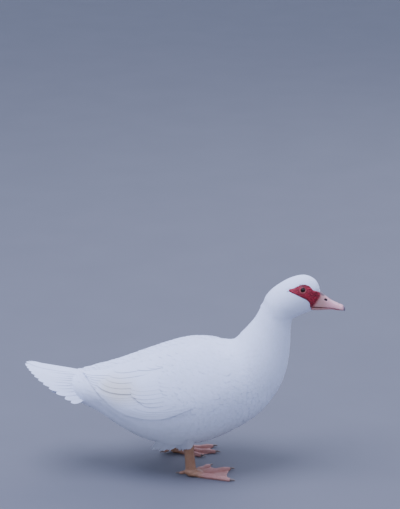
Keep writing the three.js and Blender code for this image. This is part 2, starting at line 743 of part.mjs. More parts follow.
// The feathered shin: a short cuff below the body, with hanging locks behind
function shin(leg, bodyRoom) {
  const ankle = vec(...leg.ankle);
  const cuff = tube(
    [
      { at: ankle.clone().add(vec(-6, -leg.side * 3, 28)), across: 25, up: 27 },
      { at: ankle.clone().add(vec(-4, -leg.side * 2, 12)), across: 20, up: 21 },
      { at: ankle.clone().add(vec(-2, 0, 0)), across: 13.5, up: 14 },
      { at: ankle.clone().add(vec(-1, 0, -7)), across: 9, up: 9.5 },
    ],
    14,
  );
  // The back of the thigh, and the long pointed feathers that hang from it
  const middle = vec(...leg.thigh);
  const thigh = ellipsoid(middle, [24, 15, 16], 2);
  const draw = draws(11 + leg.side);
  const locks = [];
  for (const [root, tip, half] of THIGH_LOCKS) {
    const [start, end] = [root, tip].map(([x, y, z]) => middle.clone().add(vec(x, leg.side * y, z)));
    locks.push(freeFeather(start, end, vec(-0.3, leg.side, -0.2), { half, thick: 1.4, shape: LOCK_SHAPE }));
  }
  for (let i = 0; i < 6; i++) {
    const turn = radians(mix(-115, 115, i / 5)) + Math.PI;
    const out = vec(Math.cos(turn), Math.sin(turn), 0);
    const rear = Math.max(0, -out.x);
    const root = ankle.clone().addScaledVector(out, mix(10, 13, rear)).add(vec(-3, 0, 9));
    const tip = ankle
      .clone()
      .addScaledVector(out, mix(11, 24, rear))
      .add(vec(-4 - 10 * rear, 0, -7 + draw(-1.5, 1.5) + 2 * rear));
    const up = out.clone().add(vec(0, 0, 0.3));
    locks.push(freeFeather(root, tip, up, { half: 6.5, shape: COVERT_SHAPE, thick: 1.2, sag: -1.5 }));
  }
  return largest(
    join([cuff, thigh, ...locks])
      .subtract(bodyRoom)
      .subtract(shank(leg, GAP)),
  );
}

// The duck

const materials = {
  plumage: { color: "#eceef4", roughness: 0.85, metalness: 0 },
  bareSkin: { color: "#b32a2e", roughness: 0.55, metalness: 0 },
  bill: { color: "#d98f93", roughness: 0.4, metalness: 0 },
  iris: { color: "#4a3524", roughness: 0.1, metalness: 0 },
  leg: { color: "#b97a4c", roughness: 0.6, metalness: 0 },
  claw: { color: "#57473d", roughness: 0.45, metalness: 0 },
};

const duck = new THREE.Group();

function add(name, solid, finish) {
  const { vertProperties, triVerts, numProp } = solid.getMesh();
  const positions = new Float32Array((vertProperties.length / numProp) * 3);
  for (let i = 0; i < positions.length / 3; i++)
    positions.set(vertProperties.subarray(i * numProp, i * numProp + 3), i * 3);
  const geometry = new THREE.BufferGeometry();
  geometry.setAttribute("position", new THREE.BufferAttribute(positions, 3));
  geometry.setIndex(new THREE.BufferAttribute(new Uint32Array(triVerts), 1));
  geometry.computeVertexNormals();
  const mesh = new THREE.Mesh(geometry, new THREE.MeshStandardMaterial(materials[finish]));
  mesh.name = name;
  duck.add(mesh);
}

const NECK_CUT = 9.2; // section number where the neck leaves the torso
const CUT = 0.03; // share of a section left open at each cut

const torsoShape = (grow) =>
  bodyLength(across(TAIL_CUT), across(NECK_CUT - CUT), 19, BODY_SIDES, (u, phi) => bedDepth(u, phi) - grow);
const torsoRoom = torsoShape(GAP);
const neck = bodyLength(across(NECK_CUT), (phi) => crease(phi) - 0.14, 8, BODY_SIDES, bedDepth);

add("torso", torsoShape(0), "plumage");
add("neck", neck, "plumage");
const { head, face } = headPieces();
add("head", head, "plumage");
add("face", face, "bareSkin");
add("eye_left", ball(1, EYE.radius), "iris");
add("eye_right", ball(-1, EYE.radius), "iris");
add("bill_upper", billUpper(), "bill");
add("bill_lower", billLower(), "bill");
add("tail", tail(), "plumage");
for (const [name, side] of [["left", 1], ["right", -1]])
  add(`wing_${name}`, largest(wing(side).subtract(torsoRoom)), "plumage");
for (const leg of LEGS) {
  add(`shin_${leg.name}`, shin(leg, torsoRoom), "plumage");
  add(`shank_${leg.name}`, shank(leg).subtract(torsoRoom), "leg");
  add(`foot_${leg.name}`, foot(leg), "leg");
  for (const [name, solid] of Object.entries(claws(leg))) add(name, solid, "claw");
}

export default duck;
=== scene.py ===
"""A white muscovy duck hen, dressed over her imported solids: skin, plumage, face, bill, eyes and feet."""

import math

import bmesh
import bpy
import numpy as np
from mathutils import Matrix, Vector


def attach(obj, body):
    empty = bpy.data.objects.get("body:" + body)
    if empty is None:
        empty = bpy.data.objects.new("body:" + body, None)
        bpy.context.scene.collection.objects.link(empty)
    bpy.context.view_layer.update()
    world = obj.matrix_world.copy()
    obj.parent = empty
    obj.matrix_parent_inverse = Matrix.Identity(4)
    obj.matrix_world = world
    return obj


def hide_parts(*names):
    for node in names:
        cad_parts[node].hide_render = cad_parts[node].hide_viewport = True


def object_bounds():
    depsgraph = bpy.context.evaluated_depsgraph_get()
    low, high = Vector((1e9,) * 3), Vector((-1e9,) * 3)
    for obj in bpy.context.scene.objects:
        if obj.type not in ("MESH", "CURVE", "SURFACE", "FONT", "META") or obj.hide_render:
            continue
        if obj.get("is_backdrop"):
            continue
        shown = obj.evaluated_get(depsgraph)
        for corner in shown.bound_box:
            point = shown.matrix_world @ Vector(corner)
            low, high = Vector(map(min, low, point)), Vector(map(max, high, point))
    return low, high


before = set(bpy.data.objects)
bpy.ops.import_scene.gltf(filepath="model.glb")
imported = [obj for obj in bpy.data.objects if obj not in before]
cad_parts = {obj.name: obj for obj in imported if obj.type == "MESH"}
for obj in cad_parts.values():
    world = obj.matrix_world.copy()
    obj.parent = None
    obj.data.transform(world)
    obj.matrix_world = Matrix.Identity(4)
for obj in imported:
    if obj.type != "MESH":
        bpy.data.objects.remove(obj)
cad_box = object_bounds()

MM = 0.001
SIDES = {"left": 1, "right": -1}

# The body's outline in millimetres, from the tail to the root of the bill: the back's x and z,
# the belly's x and z, the half width, and how far below the middle its widest level lies,
# as a share of the half height
SECTIONS = {
    "tail end": (-207, 168, -197, 134, 26, 0),
    "tail root": (-186, 171.5, -176, 120, 36, 0),
    "rump": (-158, 177, -142, 103, 50, 0),
    "hips": (-114, 188, -104, 78, 70, 0.05),
    "loins": (-64, 206, -62, 56, 82, 0.08),
    "belly": (-14, 223, -16, 48, 86, 0.08),
    "back": (28, 231, 34, 52, 86, 0.05),
    "shoulders": (63, 227.5, 84, 73, 79, 0),
    "breast": (83, 227.5, 126, 101, 66, 0),
    "neck root": (97, 241.5, 154, 136, 51, 0),
    "low neck": (107, 253, 168, 168, 41, 0),
    "mid neck": (117, 266, 174, 198, 34.5, 0),
    "high neck": (124, 279, 176, 225, 31, 0),
    "nape": (130, 291, 176.5, 249, 28.5, 0),
    "jaw": (135, 304, 180, 267, 28.5, 0),
    "occiput": (149, 319, 191, 273, 29, 0),
    "crown": (174, 334.5, 200, 276.5, 28.5, 0),
    "forehead": (198, 340, 208, 279, 25.5, 0),
    "brow": (216, 332, 213, 280.5, 20, 0),
    "bill root": (225, 315, 216, 281, 14, 0),
}
ROWS = np.array(list(SECTIONS.values()), float)
LAST = len(ROWS) - 1
AT = {name: i for i, name in enumerate(SECTIONS)}

# How deep the bed of the folded wing is sunk, how high the mantle stands between the wings, and how
# far the tail's end is rounded off
BED = 6.0
MANTLE = 3.6
TAIL_ROUNDING = 15

# Where each shank stands on its foot, the ankles, and the thighs' middles, their radii and how far
# they swell
FOOT_BASES = {"left": (-18, 58, 9), "right": (10, -44, 9)}
ANKLES = {"left": (-15, 53, 62), "right": (6, -46, 62)}
THIGHS = {"left": (-37, 54, 71), "right": (-18, -60, 71)}
THIGH_RADII = (27, 24, 17)
THIGH_SWELL = 7.0

# The corner of the mouth, where the bill's side shows: from this x forwards, between these heights
GAPE_X = 210
GAPE_LOW, GAPE_HIGH = 283.5, 297


# Shape of the body

def mix(a, b, t):
    return a + (b - a) * t


def smooth(low, high, value):
    t = np.clip((value - low) / (high - low), 0, 1)
    return t * t * (3 - 2 * t)


def unit(v):
    return v / np.maximum(np.linalg.norm(v, axis=-1, keepdims=True), 1e-9)


def through(rows, u):
    """A smooth curve through the rows, read at the places u."""
    rows = np.asarray(rows, float)
    last = len(rows) - 1
    u = np.clip(np.asarray(u, float), 0, last)
    i = np.minimum(u.astype(int), last - 1)
    t = (u - i)[..., None]
    a, b, c, d = (rows[np.clip(i + k, 0, last)] for k in (-1, 0, 1, 2))
    return b + 0.5 * t * (c - a + t * (2 * a - 5 * b + 4 * c - d + t * (3 * (b - c) + d - a)))


def body_point(u, phi):
    """The outline at section number u and angle phi from the back's midline, left positive."""
    back_x, back_z, belly_x, belly_z, half, low = np.moveaxis(through(ROWS, u), -1, 0)
    k = np.cos(phi) - low * np.sin(phi) ** 2
    x = (back_x + belly_x) / 2 + (back_x - belly_x) / 2 * k
    z = (back_z + belly_z) / 2 + (back_z - belly_z) / 2 * k
    return np.stack([x, half * np.sin(phi), z], -1)


def body_frame(u, phi):
    """The steps of the outline for one section and one radian, and its outward normal."""
    step = 1e-3
    u = np.clip(u, 2 * step, LAST - 2 * step)
    along = (body_point(u + step, phi) - body_point(u - step, phi)) / (2 * step)
    around = (body_point(u, phi + step) - body_point(u, phi - step)) / (2 * step)
    return along, around, unit(np.cross(along, around))


def section_at(x, phi):
    """The section number where the outline at angle phi reaches x."""
    x, phi = np.broadcast_arrays(np.asarray(x, float), np.asarray(phi, float))
    low, high = np.zeros(x.shape), np.full(x.shape, float(AT["high neck"]))
    for _ in range(36):
        middle = (low + high) / 2
        short = body_point(middle, phi)[..., 0] < x
        low, high = np.where(short, middle, low), np.where(short, high, middle)
    return (low + high) / 2


def bed(u, phi):
    """How deep the side is sunk to take the folded wing, with the backbone left standing."""
    degrees = np.degrees(np.abs(phi))
    along = smooth(0.4, 2.2, u) * (1 - smooth(7.2, 8.8, u))
    beside = mix(1, np.clip((degrees - 6) / 18, 0, 1), smooth(0.8, 2.4, u))
    return BED * along * beside * (1 - smooth(96, 128, degrees))


def crease(phi):
    """Section number of the line where the head's feathers end on the neck, lower at the nape."""
    return 13.4 - 0.95 * np.cos(phi)


# Where the folded forearm starts and ends along x
WING_FRONT = 92
WING_BACK = -112


def wing_place(u, phi):
    """Where a point lies on the wing: 0 to 1 from front to back, and 0 to 1 from top to bottom."""
    x = body_point(u, phi)[..., 0]
    t = (WING_FRONT - x) / (WING_FRONT - WING_BACK)
    rounded = np.sqrt(np.clip(1 - (1 - np.clip(t / 0.22, 0, 1)) ** 2, 0, 1))
    middle, upper, lower = mix(56, 60, t), mix(12, 16, t), mix(97, 92, t)
    top = mix(middle, upper, 0.25 + 0.75 * rounded)
    bottom = mix(middle, lower, 0.2 + 0.8 * rounded)
    return t, (np.degrees(np.abs(phi)) - top) / (bottom - top)


def wing_dome(u, phi):
    """Thickness of the folded forearm over the bed."""
    t, q = wing_place(u, phi)
    thick = mix(2.2, 6.6, smooth(0, 0.28, t)) * (1 - 0.72 * smooth(0.45, 1, t))
    inside = smooth(-0.04, 0.2, q) * (1 - smooth(0.74, 1.04, q))
    ends = smooth(0, 0.2, t) * (1 - smooth(0.97, 1.02, t))
    return thick * inside * ends


# The rear edge of the folded wing: degrees from the back's midline, and x
WING_REAR = [(0, -169), (12, -169), (38, -156), (77, -149), (97, -140), (107, -112), (128, -40)]


def swell(u, phi):
    """The cheeks, and the small ruff where the head's feathers end on the neck."""
    cheek = 1.6 * np.exp(-(((u - 15.2) / 1.3) ** 2) - ((np.abs(phi) - math.radians(112)) / 0.75) ** 2)
    ahead = u - crease(phi)
    ruff = 1.5 * smooth(-0.12, 0.03, ahead) * (1 - smooth(0.03, 0.9, ahead))
    return cheek * smooth(12.6, 13.6, u) + ruff


def coat_height(u, phi):
    """Height of the plumage over the outline, with the wings off. Behind the folded wings it
    fills their bed again, so that their tips end among the feathers of the rump, the mantle
    stands between them, and the thighs swell below. The tail's end is rounded off."""
    point = body_point(u, phi)
    degrees = np.degrees(np.abs(phi))
    rear = np.interp(degrees, *zip(*WING_REAR))
    covered = smooth(rear - 16, rear - 3, point[..., 0])
    mantle = MANTLE * smooth(0.8, 2.4, u) * (1 - smooth(5.2, 6.8, u)) * (1 - smooth(9, 24, degrees))
    rounded = TAIL_ROUNDING * (1 - np.sqrt(1 - (1 - np.clip(u / 0.5, 0, 1)) ** 2))
    over = swell(u, phi) + mantle - bed(u, phi) * covered - rounded
    for thigh in THIGHS.values():
        away = np.linalg.norm((point - thigh) / THIGH_RADII, axis=-1)
        over = over + THIGH_SWELL * (1 - smooth(0.15, 1.15, away))
    return over


def wing_height(u, phi):
    """Height of the small coverts over the outline."""
    t, _ = wing_place(u, phi)
    return coat_height(u, phi) + 0.6 * smooth(0.02, 0.2, t) + wing_dome(u, phi)


# Meshes

def into_scene(name, data):
    """A new object in the scene, from its mesh, lamp or camera."""
    made = bpy.data.objects.new(name, data)
    bpy.context.scene.collection.objects.link(made)
    return made


def mesh_object(name, points, faces, material, normals=None, uv=None):
    """A smooth-shaded mesh from points in millimetres and a list of faces. normals holds one
    direction for each corner of each face, and uv one pair of values for each point."""
    mesh = bpy.data.meshes.new(name)
    mesh.from_pydata((points * MM).tolist(), [], faces)
    mesh.polygons.foreach_set("use_smooth", [True] * len(mesh.polygons))
    for layer_name, values in (uv or {}).items():
        layer = mesh.uv_layers.new(name=layer_name)
        corner = np.zeros(len(mesh.loops), np.int32)
        mesh.loops.foreach_get("vertex_index", corner)
        layer.data.foreach_set("uv", np.asarray(values, np.float32)[corner].ravel())
    if normals is not None:
        mesh.normals_split_custom_set(normals.reshape(-1, 3).tolist())
    mesh.materials.append(material)
    made = into_scene(name, mesh)
    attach(made, "root")
    return made


def tube_faces(rings, count):
    """Quads between closed rings of count points, and a fan over each end's middle point."""
    faces = []
    for r in range(rings - 1):
        for k in range(count):
            a, b = r * count + k, r * count + (k + 1) % count
            faces.append((a, b, b + count, a + count))
    first, last = rings * count, rings * count + 1
    for k in range(count):
        faces.append((k, first, (k + 1) % count))
        end = (rings - 1) * count
        faces.append((end + k, end + (k + 1) % count, last))
    return faces


def lofted(name, rings, material):
    """A closed solid through rings of points, shape (rings, points, 3)."""
    ends = [rings[0].mean(0), rings[-1].mean(0)]
    points = np.concatenate([rings.reshape(-1, 3), ends])
    return mesh_object(name, points, tube_faces(*rings.shape[:2]), material)


# Feathers

# Outline of each kind of feather: share of the length, share of the half width
CONTOUR = [(0, 0.35), (0.3, 0.82), (0.62, 1), (0.87, 0.78), (1, 0.22)]
DOWNY = [(0, 0.3), (0.4, 0.9), (0.75, 0.85), (1, 0.12)]
COVERT = [(0, 0.45), (0.2, 0.8), (0.45, 0.98), (0.7, 1), (0.87, 0.8), (0.96, 0.5), (1, 0.16)]
FLIGHT = [
    (0, 0.3), (0.06, 0.5), (0.14, 0.72), (0.25, 0.88), (0.38, 0.97), (0.52, 1), (0.66, 0.99),
    (0.78, 0.92), (0.87, 0.78), (0.94, 0.56), (0.98, 0.34), (1, 0.14),
]


class Coat:
    """Feathers gathered for one mesh. Each is a grid over its outline, closed underneath."""

    def __init__(self):
        self.points = []
        self.corner_normals = []
        self.bake = []
        self.vane = []
        self.faces = []
        self.count = 0

    def add(self, place, home, half, outline, columns, thick, ridge=0.0):
        """place(s, across, height) gives points and normals, all of shape (feathers, rows, columns).
        home is each root's section number and angle."""
        outline = np.asarray(outline, float)
        c = np.asarray(columns, float)[None, None, :]
        across = half[:, None, None] * outline[None, :, 1:] * c
        number, rows, cols = across.shape
        s = np.broadcast_to(outline[None, :, :1], across.shape)
        shaft = ridge * np.maximum(0, 1 - np.abs(c) / 0.05) * (1 - s)
        crown = thick * (1 - 0.8 * c**2) * (1 - 0.6 * s**3) + shaft
        top, up = place(s, across, crown)
        low, down = place(s, across, np.zeros(across.shape))
        grid = rows * cols
        points = np.concatenate([top.reshape(number, grid, 3), low.reshape(number, grid, 3)], 1)
        flat_s = s.reshape(number, grid)
        flat_c = np.broadcast_to(c, across.shape).reshape(number, grid)
        root = np.stack([home[0] / LAST, home[1] / (2 * math.pi) + 0.5], -1)[:, None, :] * 0.99 + 0.005
        patch = root + 0.003 * np.stack([flat_c / 2, flat_s - 0.5], -1)
        local = np.stack([flat_c / 2 + 0.5, flat_s], -1)
        self.points.append(points.reshape(-1, 3))
        self.bake.append(np.concatenate([patch, patch], 1).reshape(-1, 2))
        self.vane.append(np.concatenate([local, local], 1).reshape(-1, 2))
        one = vane_faces(rows, cols)
        turned = np.cross(top[:, 0, 1] - top[:, 0, 0], top[:, 1, 0] - top[:, 0, 0])
        if np.sum(turned * up[:, 0, 0]) < 0:
            one = one[:, ::-1]
        starts = self.count + np.arange(number)[:, None, None] * 2 * grid
        self.faces.append((starts + one[None]).reshape(-1, 4))
        # The rim is shaded between its own way and the upper face's, as soft barbs are
        both = np.concatenate([up.reshape(number, grid, 3), down.reshape(number, grid, 3)], 1)
        corners = both[:, one]
        quads = (rows - 1) * (cols - 1)
        corners[:, quads:2 * quads] *= -1
        wall = points[:, one[2 * quads:]]
        outward = unit(np.cross(wall[:, :, 1] - wall[:, :, 0], wall[:, :, 3] - wall[:, :, 0]))
        corners[:, 2 * quads:] = unit(0.6 * corners[:, 2 * quads:] + 0.8 * outward[:, :, None])
        self.corner_normals.append(corners.reshape(-1, 4, 3))
        self.count += number * 2 * grid

    def build(self, name, material, *replaced):
        made = mesh_object(
            name,
            np.concatenate(self.points),
            np.concatenate(self.faces).tolist(),
            material,
            normals=np.concatenate(self.corner_normals),
            uv={"OFBake": np.concatenate(self.bake), "Vane": np.concatenate(self.vane)},
        )
        if replaced:
            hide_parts(*replaced)


def vane_faces(rows, cols):
    """Quads of one feather: its upper grid, its lower grid, and the rim between them."""
    grid = rows * cols
    index = np.arange(grid).reshape(rows, cols)
    a, b, c, d = index[:-1, :-1], index[:-1, 1:], index[1:, 1:], index[1:, :-1]
    upper = np.stack([a, b, c, d], -1).reshape(-1, 4)
    lower = np.stack([a, d, c, b], -1).reshape(-1, 4) + grid
    rim = np.concatenate([index[0, :-1], index[:-1, -1], index[-1, :0:-1], index[:0:-1, 0]])
    after = np.roll(rim, -1)
    wall = np.stack([after, rim, rim + grid, after + grid], -1)
    return np.concatenate([upper, lower, wall])


def lay_on_body(coat, height, u, phi, length, half, lift, outline, lie, tilt):
    """Feathers on the body: each starts at u, phi and runs towards the tail, turned by lie.
    lift is the height of its root and of its tip over the coat."""
    along, around, _ = body_frame(u, phi)
    pace = np.linalg.norm(along, axis=-1)[:, None, None]
    turn = np.linalg.norm(around, axis=-1)[:, None, None]
    lie, tilt = lie[:, None, None], tilt[:, None, None]

    def place(s, across, rise):
        run = length[:, None, None] * s
        back = run * np.cos(lie) - across * np.sin(lie)
        side = run * np.sin(lie) + across * np.cos(lie)
        new_u = np.clip(u[:, None, None] - back / pace, 0.01, LAST - 0.01)
        new_phi = phi[:, None, None] + side / turn
        _, _, normal = body_frame(new_u, new_phi)
        over = height(new_u, new_phi) + mix(lift[0], lift[1], s) + rise + tilt * across
        return body_point(new_u, new_phi) + normal * over[..., None], normal

    coat.add(place, (u, phi), half, outline, (-1, 0, 1), 0.28)


# Places across a large vane, closest along its shaft
VANE_COLUMNS = (-1, -0.62, -0.25, -0.05, 0, 0.05, 0.25, 0.62, 1)


def lay_on_wing(coat, side, root, tip, half, lift, tilt, outline=FLIGHT):
    """Long feathers on the wing's bed. root and tip are x in mm and degrees from the midline,
    one value for each feather."""
    root_x, root_deg, tip_x, tip_deg = (np.asarray(v, float) for v in (*root, *tip))
    root_phi, tip_phi = np.radians(root_deg), np.radians(tip_deg)
    root_u, tip_u = section_at(root_x, root_phi), section_at(tip_x, tip_phi)

    def place(s, across, rise):
        u = mix(root_u[:, None, None], tip_u[:, None, None], s)
        phi = mix(root_phi[:, None, None], tip_phi[:, None, None], s)
        along, around, _ = body_frame(u, phi)
        pace = np.linalg.norm(along, axis=-1)
        turn = np.linalg.norm(around, axis=-1)
        step_u = (tip_u - root_u)[:, None, None] * pace
        step_phi = (tip_phi - root_phi)[:, None, None] * turn
        size = np.hypot(step_u, step_phi)
        new_u = u - across * step_phi / size / pace
        new_phi = np.clip(phi + across * step_u / size / turn, math.radians(1), math.pi)
        _, _, normal = body_frame(new_u, side * new_phi)
        off = mix(lift[0][:, None, None], lift[1][:, None, None], s) - tilt * across + rise
        tucked = mix(0.2, 1, smooth(math.radians(5), math.radians(20), new_phi))
        over = off * tucked - bed(new_u, new_phi)
        return body_point(new_u, side * new_phi) + normal * over[..., None], normal

    coat.add(place, (root_u, side * root_phi), half, outline, VANE_COLUMNS, 0.5, ridge=0.5)


def stand_free(coat, root, tip, up, half, home, outline, sag=0.0, roll=0.0, thick=0.5, camber=130.0,
               columns=VANE_COLUMNS, shade=None):
    """Feathers that stand free: from root to tip, with their faces towards up. shade is the way
    they are lit from, where they lie among softer down."""
    root, tip, up = (np.asarray(v, float) for v in (root, tip, up))
    axis = unit(tip - root)
    across_way = unit(np.cross(axis, up))
    face = np.cross(across_way, axis)
    turned = across_way * np.cos(roll) + face * np.sin(roll)
    facing = face * np.cos(roll) - across_way * np.sin(roll)
    lit = facing if shade is None else unit(np.asarray(shade, float))

    def spread(v):
        return v[:, None, None, :]

    def place(s, across, rise):
        share, aside = s[..., None], across[..., None]
        sink = sag * np.sin(np.pi * share)
        high = rise[..., None] - aside**2 / camber
        point = spread(root) + spread(tip - root) * share - spread(face) * sink
        point = point + spread(turned) * aside + spread(facing) * high
        return point, unit(spread(lit) + spread(turned) * (2 * aside / camber))

    coat.add(place, home, half, outline, columns, thick, ridge=0.5)


# Spacing of the small feathers, in millimetres, by section number
SPACING = [(0, 6.5), (2, 7.5), (5, 8.2), (8, 6.8), (10, 4.6), (13, 3.4), (15, 2.4), (17.4, 1.9), (19, 1.6)]
OVERLAP = 3.1


def spacing_at(u):
    return np.interp(u, *zip(*SPACING))


def rows_of_feathers(low, high, seed, keep):
    """Staggered rows from section high down to low: u, phi and the size of each place."""
    draw = np.random.default_rng(seed)
    fine = np.linspace(-math.pi, math.pi, 721)
    places = []
    u, row = high, 0
    while u > low:
        gap = spacing_at(u)
        along, around, _ = body_frame(np.full(fine.shape, u), fine)
        arc = np.concatenate([[0], np.cumsum(np.linalg.norm(around[1:], axis=-1)) * (fine[1] - fine[0])])
        count = int(arc[-1] / gap)
        at = (np.arange(count) + 0.5 * (row % 2) + draw.uniform(-0.22, 0.22, count)) / count * arc[-1]
        phi = np.interp(at % arc[-1], arc, fine)
        pace = np.linalg.norm(along, axis=-1)
        step = 0.8 * gap / np.mean(pace)
        local = np.interp(phi, fine, pace) * step
        shift = draw.uniform(-0.3, 0.3, count) * step
        places.append(np.stack([np.full(count, u) + shift, phi, np.full(count, gap), local], -1))
        u -= step
        row += 1
    found = np.concatenate(places)
    found = found[(found[:, 0] > low) & (found[:, 0] < high)]
    return found[keep(found[:, 0], found[:, 1])]


def small_feathers(coat, height, places, seed, depth, overlap=OVERLAP, outline=CONTOUR, width=0.75):
    """One feather at each place, its root sunk and its tip on the surface, the roots along the bare
    skin sunk under its edge. width is its half width as a share of the space between feathers."""
    draw = np.random.default_rng(seed)
    u, phi, gap, step = places.T
    number = len(u)
    length = np.clip(step, 0.75 * gap, 1.5 * gap) * overlap * draw.uniform(0.88, 1.12, number)
    half = gap * width * draw.uniform(0.88, 1.12, number)
    sink = -depth * gap / 8 - 1.7 * smooth(-3.5, 0, bare(u, phi))
    lie = draw.normal(0, 0.07, number)
    tilt = draw.normal(0, 0.012, number)
    jitter = draw.uniform(-0.05, 0.05, number)[:, None, None] * gap[:, None, None] / 6
    lift = (sink[:, None, None], jitter)
    lay_on_body(coat, height, u, phi, length, half, lift, outline, lie, tilt)


# Places of the face, in millimetres

EYE = np.array([194.5, 19.6, 322.0])
EYE_RADIUS = 6.2
LID = (3.9, 3.4)
FACE_OUTLINE = np.array([
    (171, 321.6), (181.6, 325.6), (191.5, 330.2), (199.5, 330.2), (206.8, 326.6), (211, 321.5),
    (217, 317.5), (223, 314.5), (230, 308), (222, 296.5), (214, 286.5), (209.6, 288.5),
    (207, 299.5), (201, 306.5), (192.5, 311.5), (183, 316.2),
], float)
NOSTRIL = np.array([233.6, 9.2, 300.2])
# The nostril's long and short way, down and across the bill's slope of 24 degrees
SLOPE = math.radians(24)
NOSTRIL_WAYS = [(math.cos(SLOPE), 0.0, -math.sin(SLOPE)), (math.sin(SLOPE), 0.0, math.cos(SLOPE))]
# The face's front edge from the side, where the red skin pales into the bill: its upper and lower end
FRONT = np.array([(228.5, 312.0), (212.0, 290.0)])


def face_curve():
    """The outline of the bare skin as a smooth closed curve."""
    count = len(FACE_OUTLINE)
    looped = np.concatenate([FACE_OUTLINE[-2:], FACE_OUTLINE, FACE_OUTLINE[:2]])
    return through(looped, 2 + np.linspace(0, count, 6 * count, endpoint=False))


def inside_face(x, z):
    """Distance from the edge of the bare skin, positive inside it."""
    curve = face_curve()
    after = np.roll(curve, -1, 0)
    shape = x.shape
    p = np.stack([x.ravel(), z.ravel()], -1)
    nearest = np.full(len(p), 1e9)
    crossings = np.zeros(len(p), int)
    for a, b in zip(curve, after):
        span = b - a
        t = np.clip(((p - a) @ span) / (span @ span), 0, 1)
        nearest = np.minimum(nearest, np.hypot(*(p - a - t[:, None] * span).T))
        if a[1] != b[1]:
            between = (p[:, 1] > min(a[1], b[1])) & (p[:, 1] <= max(a[1], b[1]))
            at = a[0] + (p[:, 1] - a[1]) * span[0] / span[1]
            crossings += between & (p[:, 0] < at)
    return np.where(crossings % 2 == 1, nearest, -nearest).reshape(shape)


def bare(u, phi):
    """Distance inside the bare skin for a place on the head, and far outside elsewhere."""
    point = body_point(u, phi)
    found = np.full(point.shape[:-1], -99.0)
    near = u > 14.2
    found[near] = inside_face(point[near][:, 0], point[near][:, 2])
    return found


# Materials

def linear(colour):
    """An sRGB hex value as linear red, green, blue and alpha."""
    parts = [int(colour[i:i + 2], 16) / 255 for i in (1, 3, 5)]
    return [c / 12.92 if c <= 0.04045 else ((c + 0.055) / 1.055) ** 2.4 for c in parts] + [1.0]


def add(tree, kind, inputs=None, **settings):
    """Adds one node. Its inputs are sockets of other nodes to link, sRGB hex colours or values."""
    made = tree.nodes.new("ShaderNode" + kind)
    for name, value in settings.items():
        setattr(made, name, value)
    for key, value in (inputs or {}).items():
        if isinstance(value, bpy.types.NodeSocket):
            tree.links.new(value, made.inputs[key])
        else:
            made.inputs[key].default_value = linear(value) if isinstance(value, str) else value
    return made


def new_material(name, finish):
    """An empty node material, its object coordinates and its shader. finish is what is the same all
    over the surface, by the names of the shader's sockets."""
    material = bpy.data.materials.new(name)
    material.use_nodes = True
    tree = material.node_tree
    tree.nodes.clear()
    shader = add(tree, "BsdfPrincipled", finish)
    add(tree, "OutputMaterial", {"Surface": shader.outputs["BSDF"]})
    place = add(tree, "TexCoord").outputs["Object"]
    return material, tree, shader, place


def tinted(tree, colour, *tints):
    """Lays tints over a colour, one after the other. Each tint is the value that steers it, where it
    starts and where it is full, how strong it is there, and its colour."""
    for value, start, full, strength, tint in tints:
        eased = add(tree, "MapRange", {0: value, 1: start, 2: full, 4: strength},
                    interpolation_type="SMOOTHSTEP").outputs[0]
        colour = add(tree, "Mix", {0: eased, 6: colour, 7: tint}, data_type="RGBA").outputs[2]
    return colour


def reach(tree, place, centre, sizes):
    """Distance from a centre, both in millimetres, with each axis measured in its own size."""
    offset = add(tree, "VectorMath", {0: place, 1: [c * MM for c in centre]}, operation="SUBTRACT")
    scale = [0.0 if size is None else 1 / (size * MM) for size in sizes]
    scaled = add(tree, "VectorMath", {0: offset.outputs[0], 1: scale}, operation="MULTIPLY")
    return add(tree, "VectorMath", {0: scaled.outputs[0]}, operation="LENGTH").outputs["Value"]


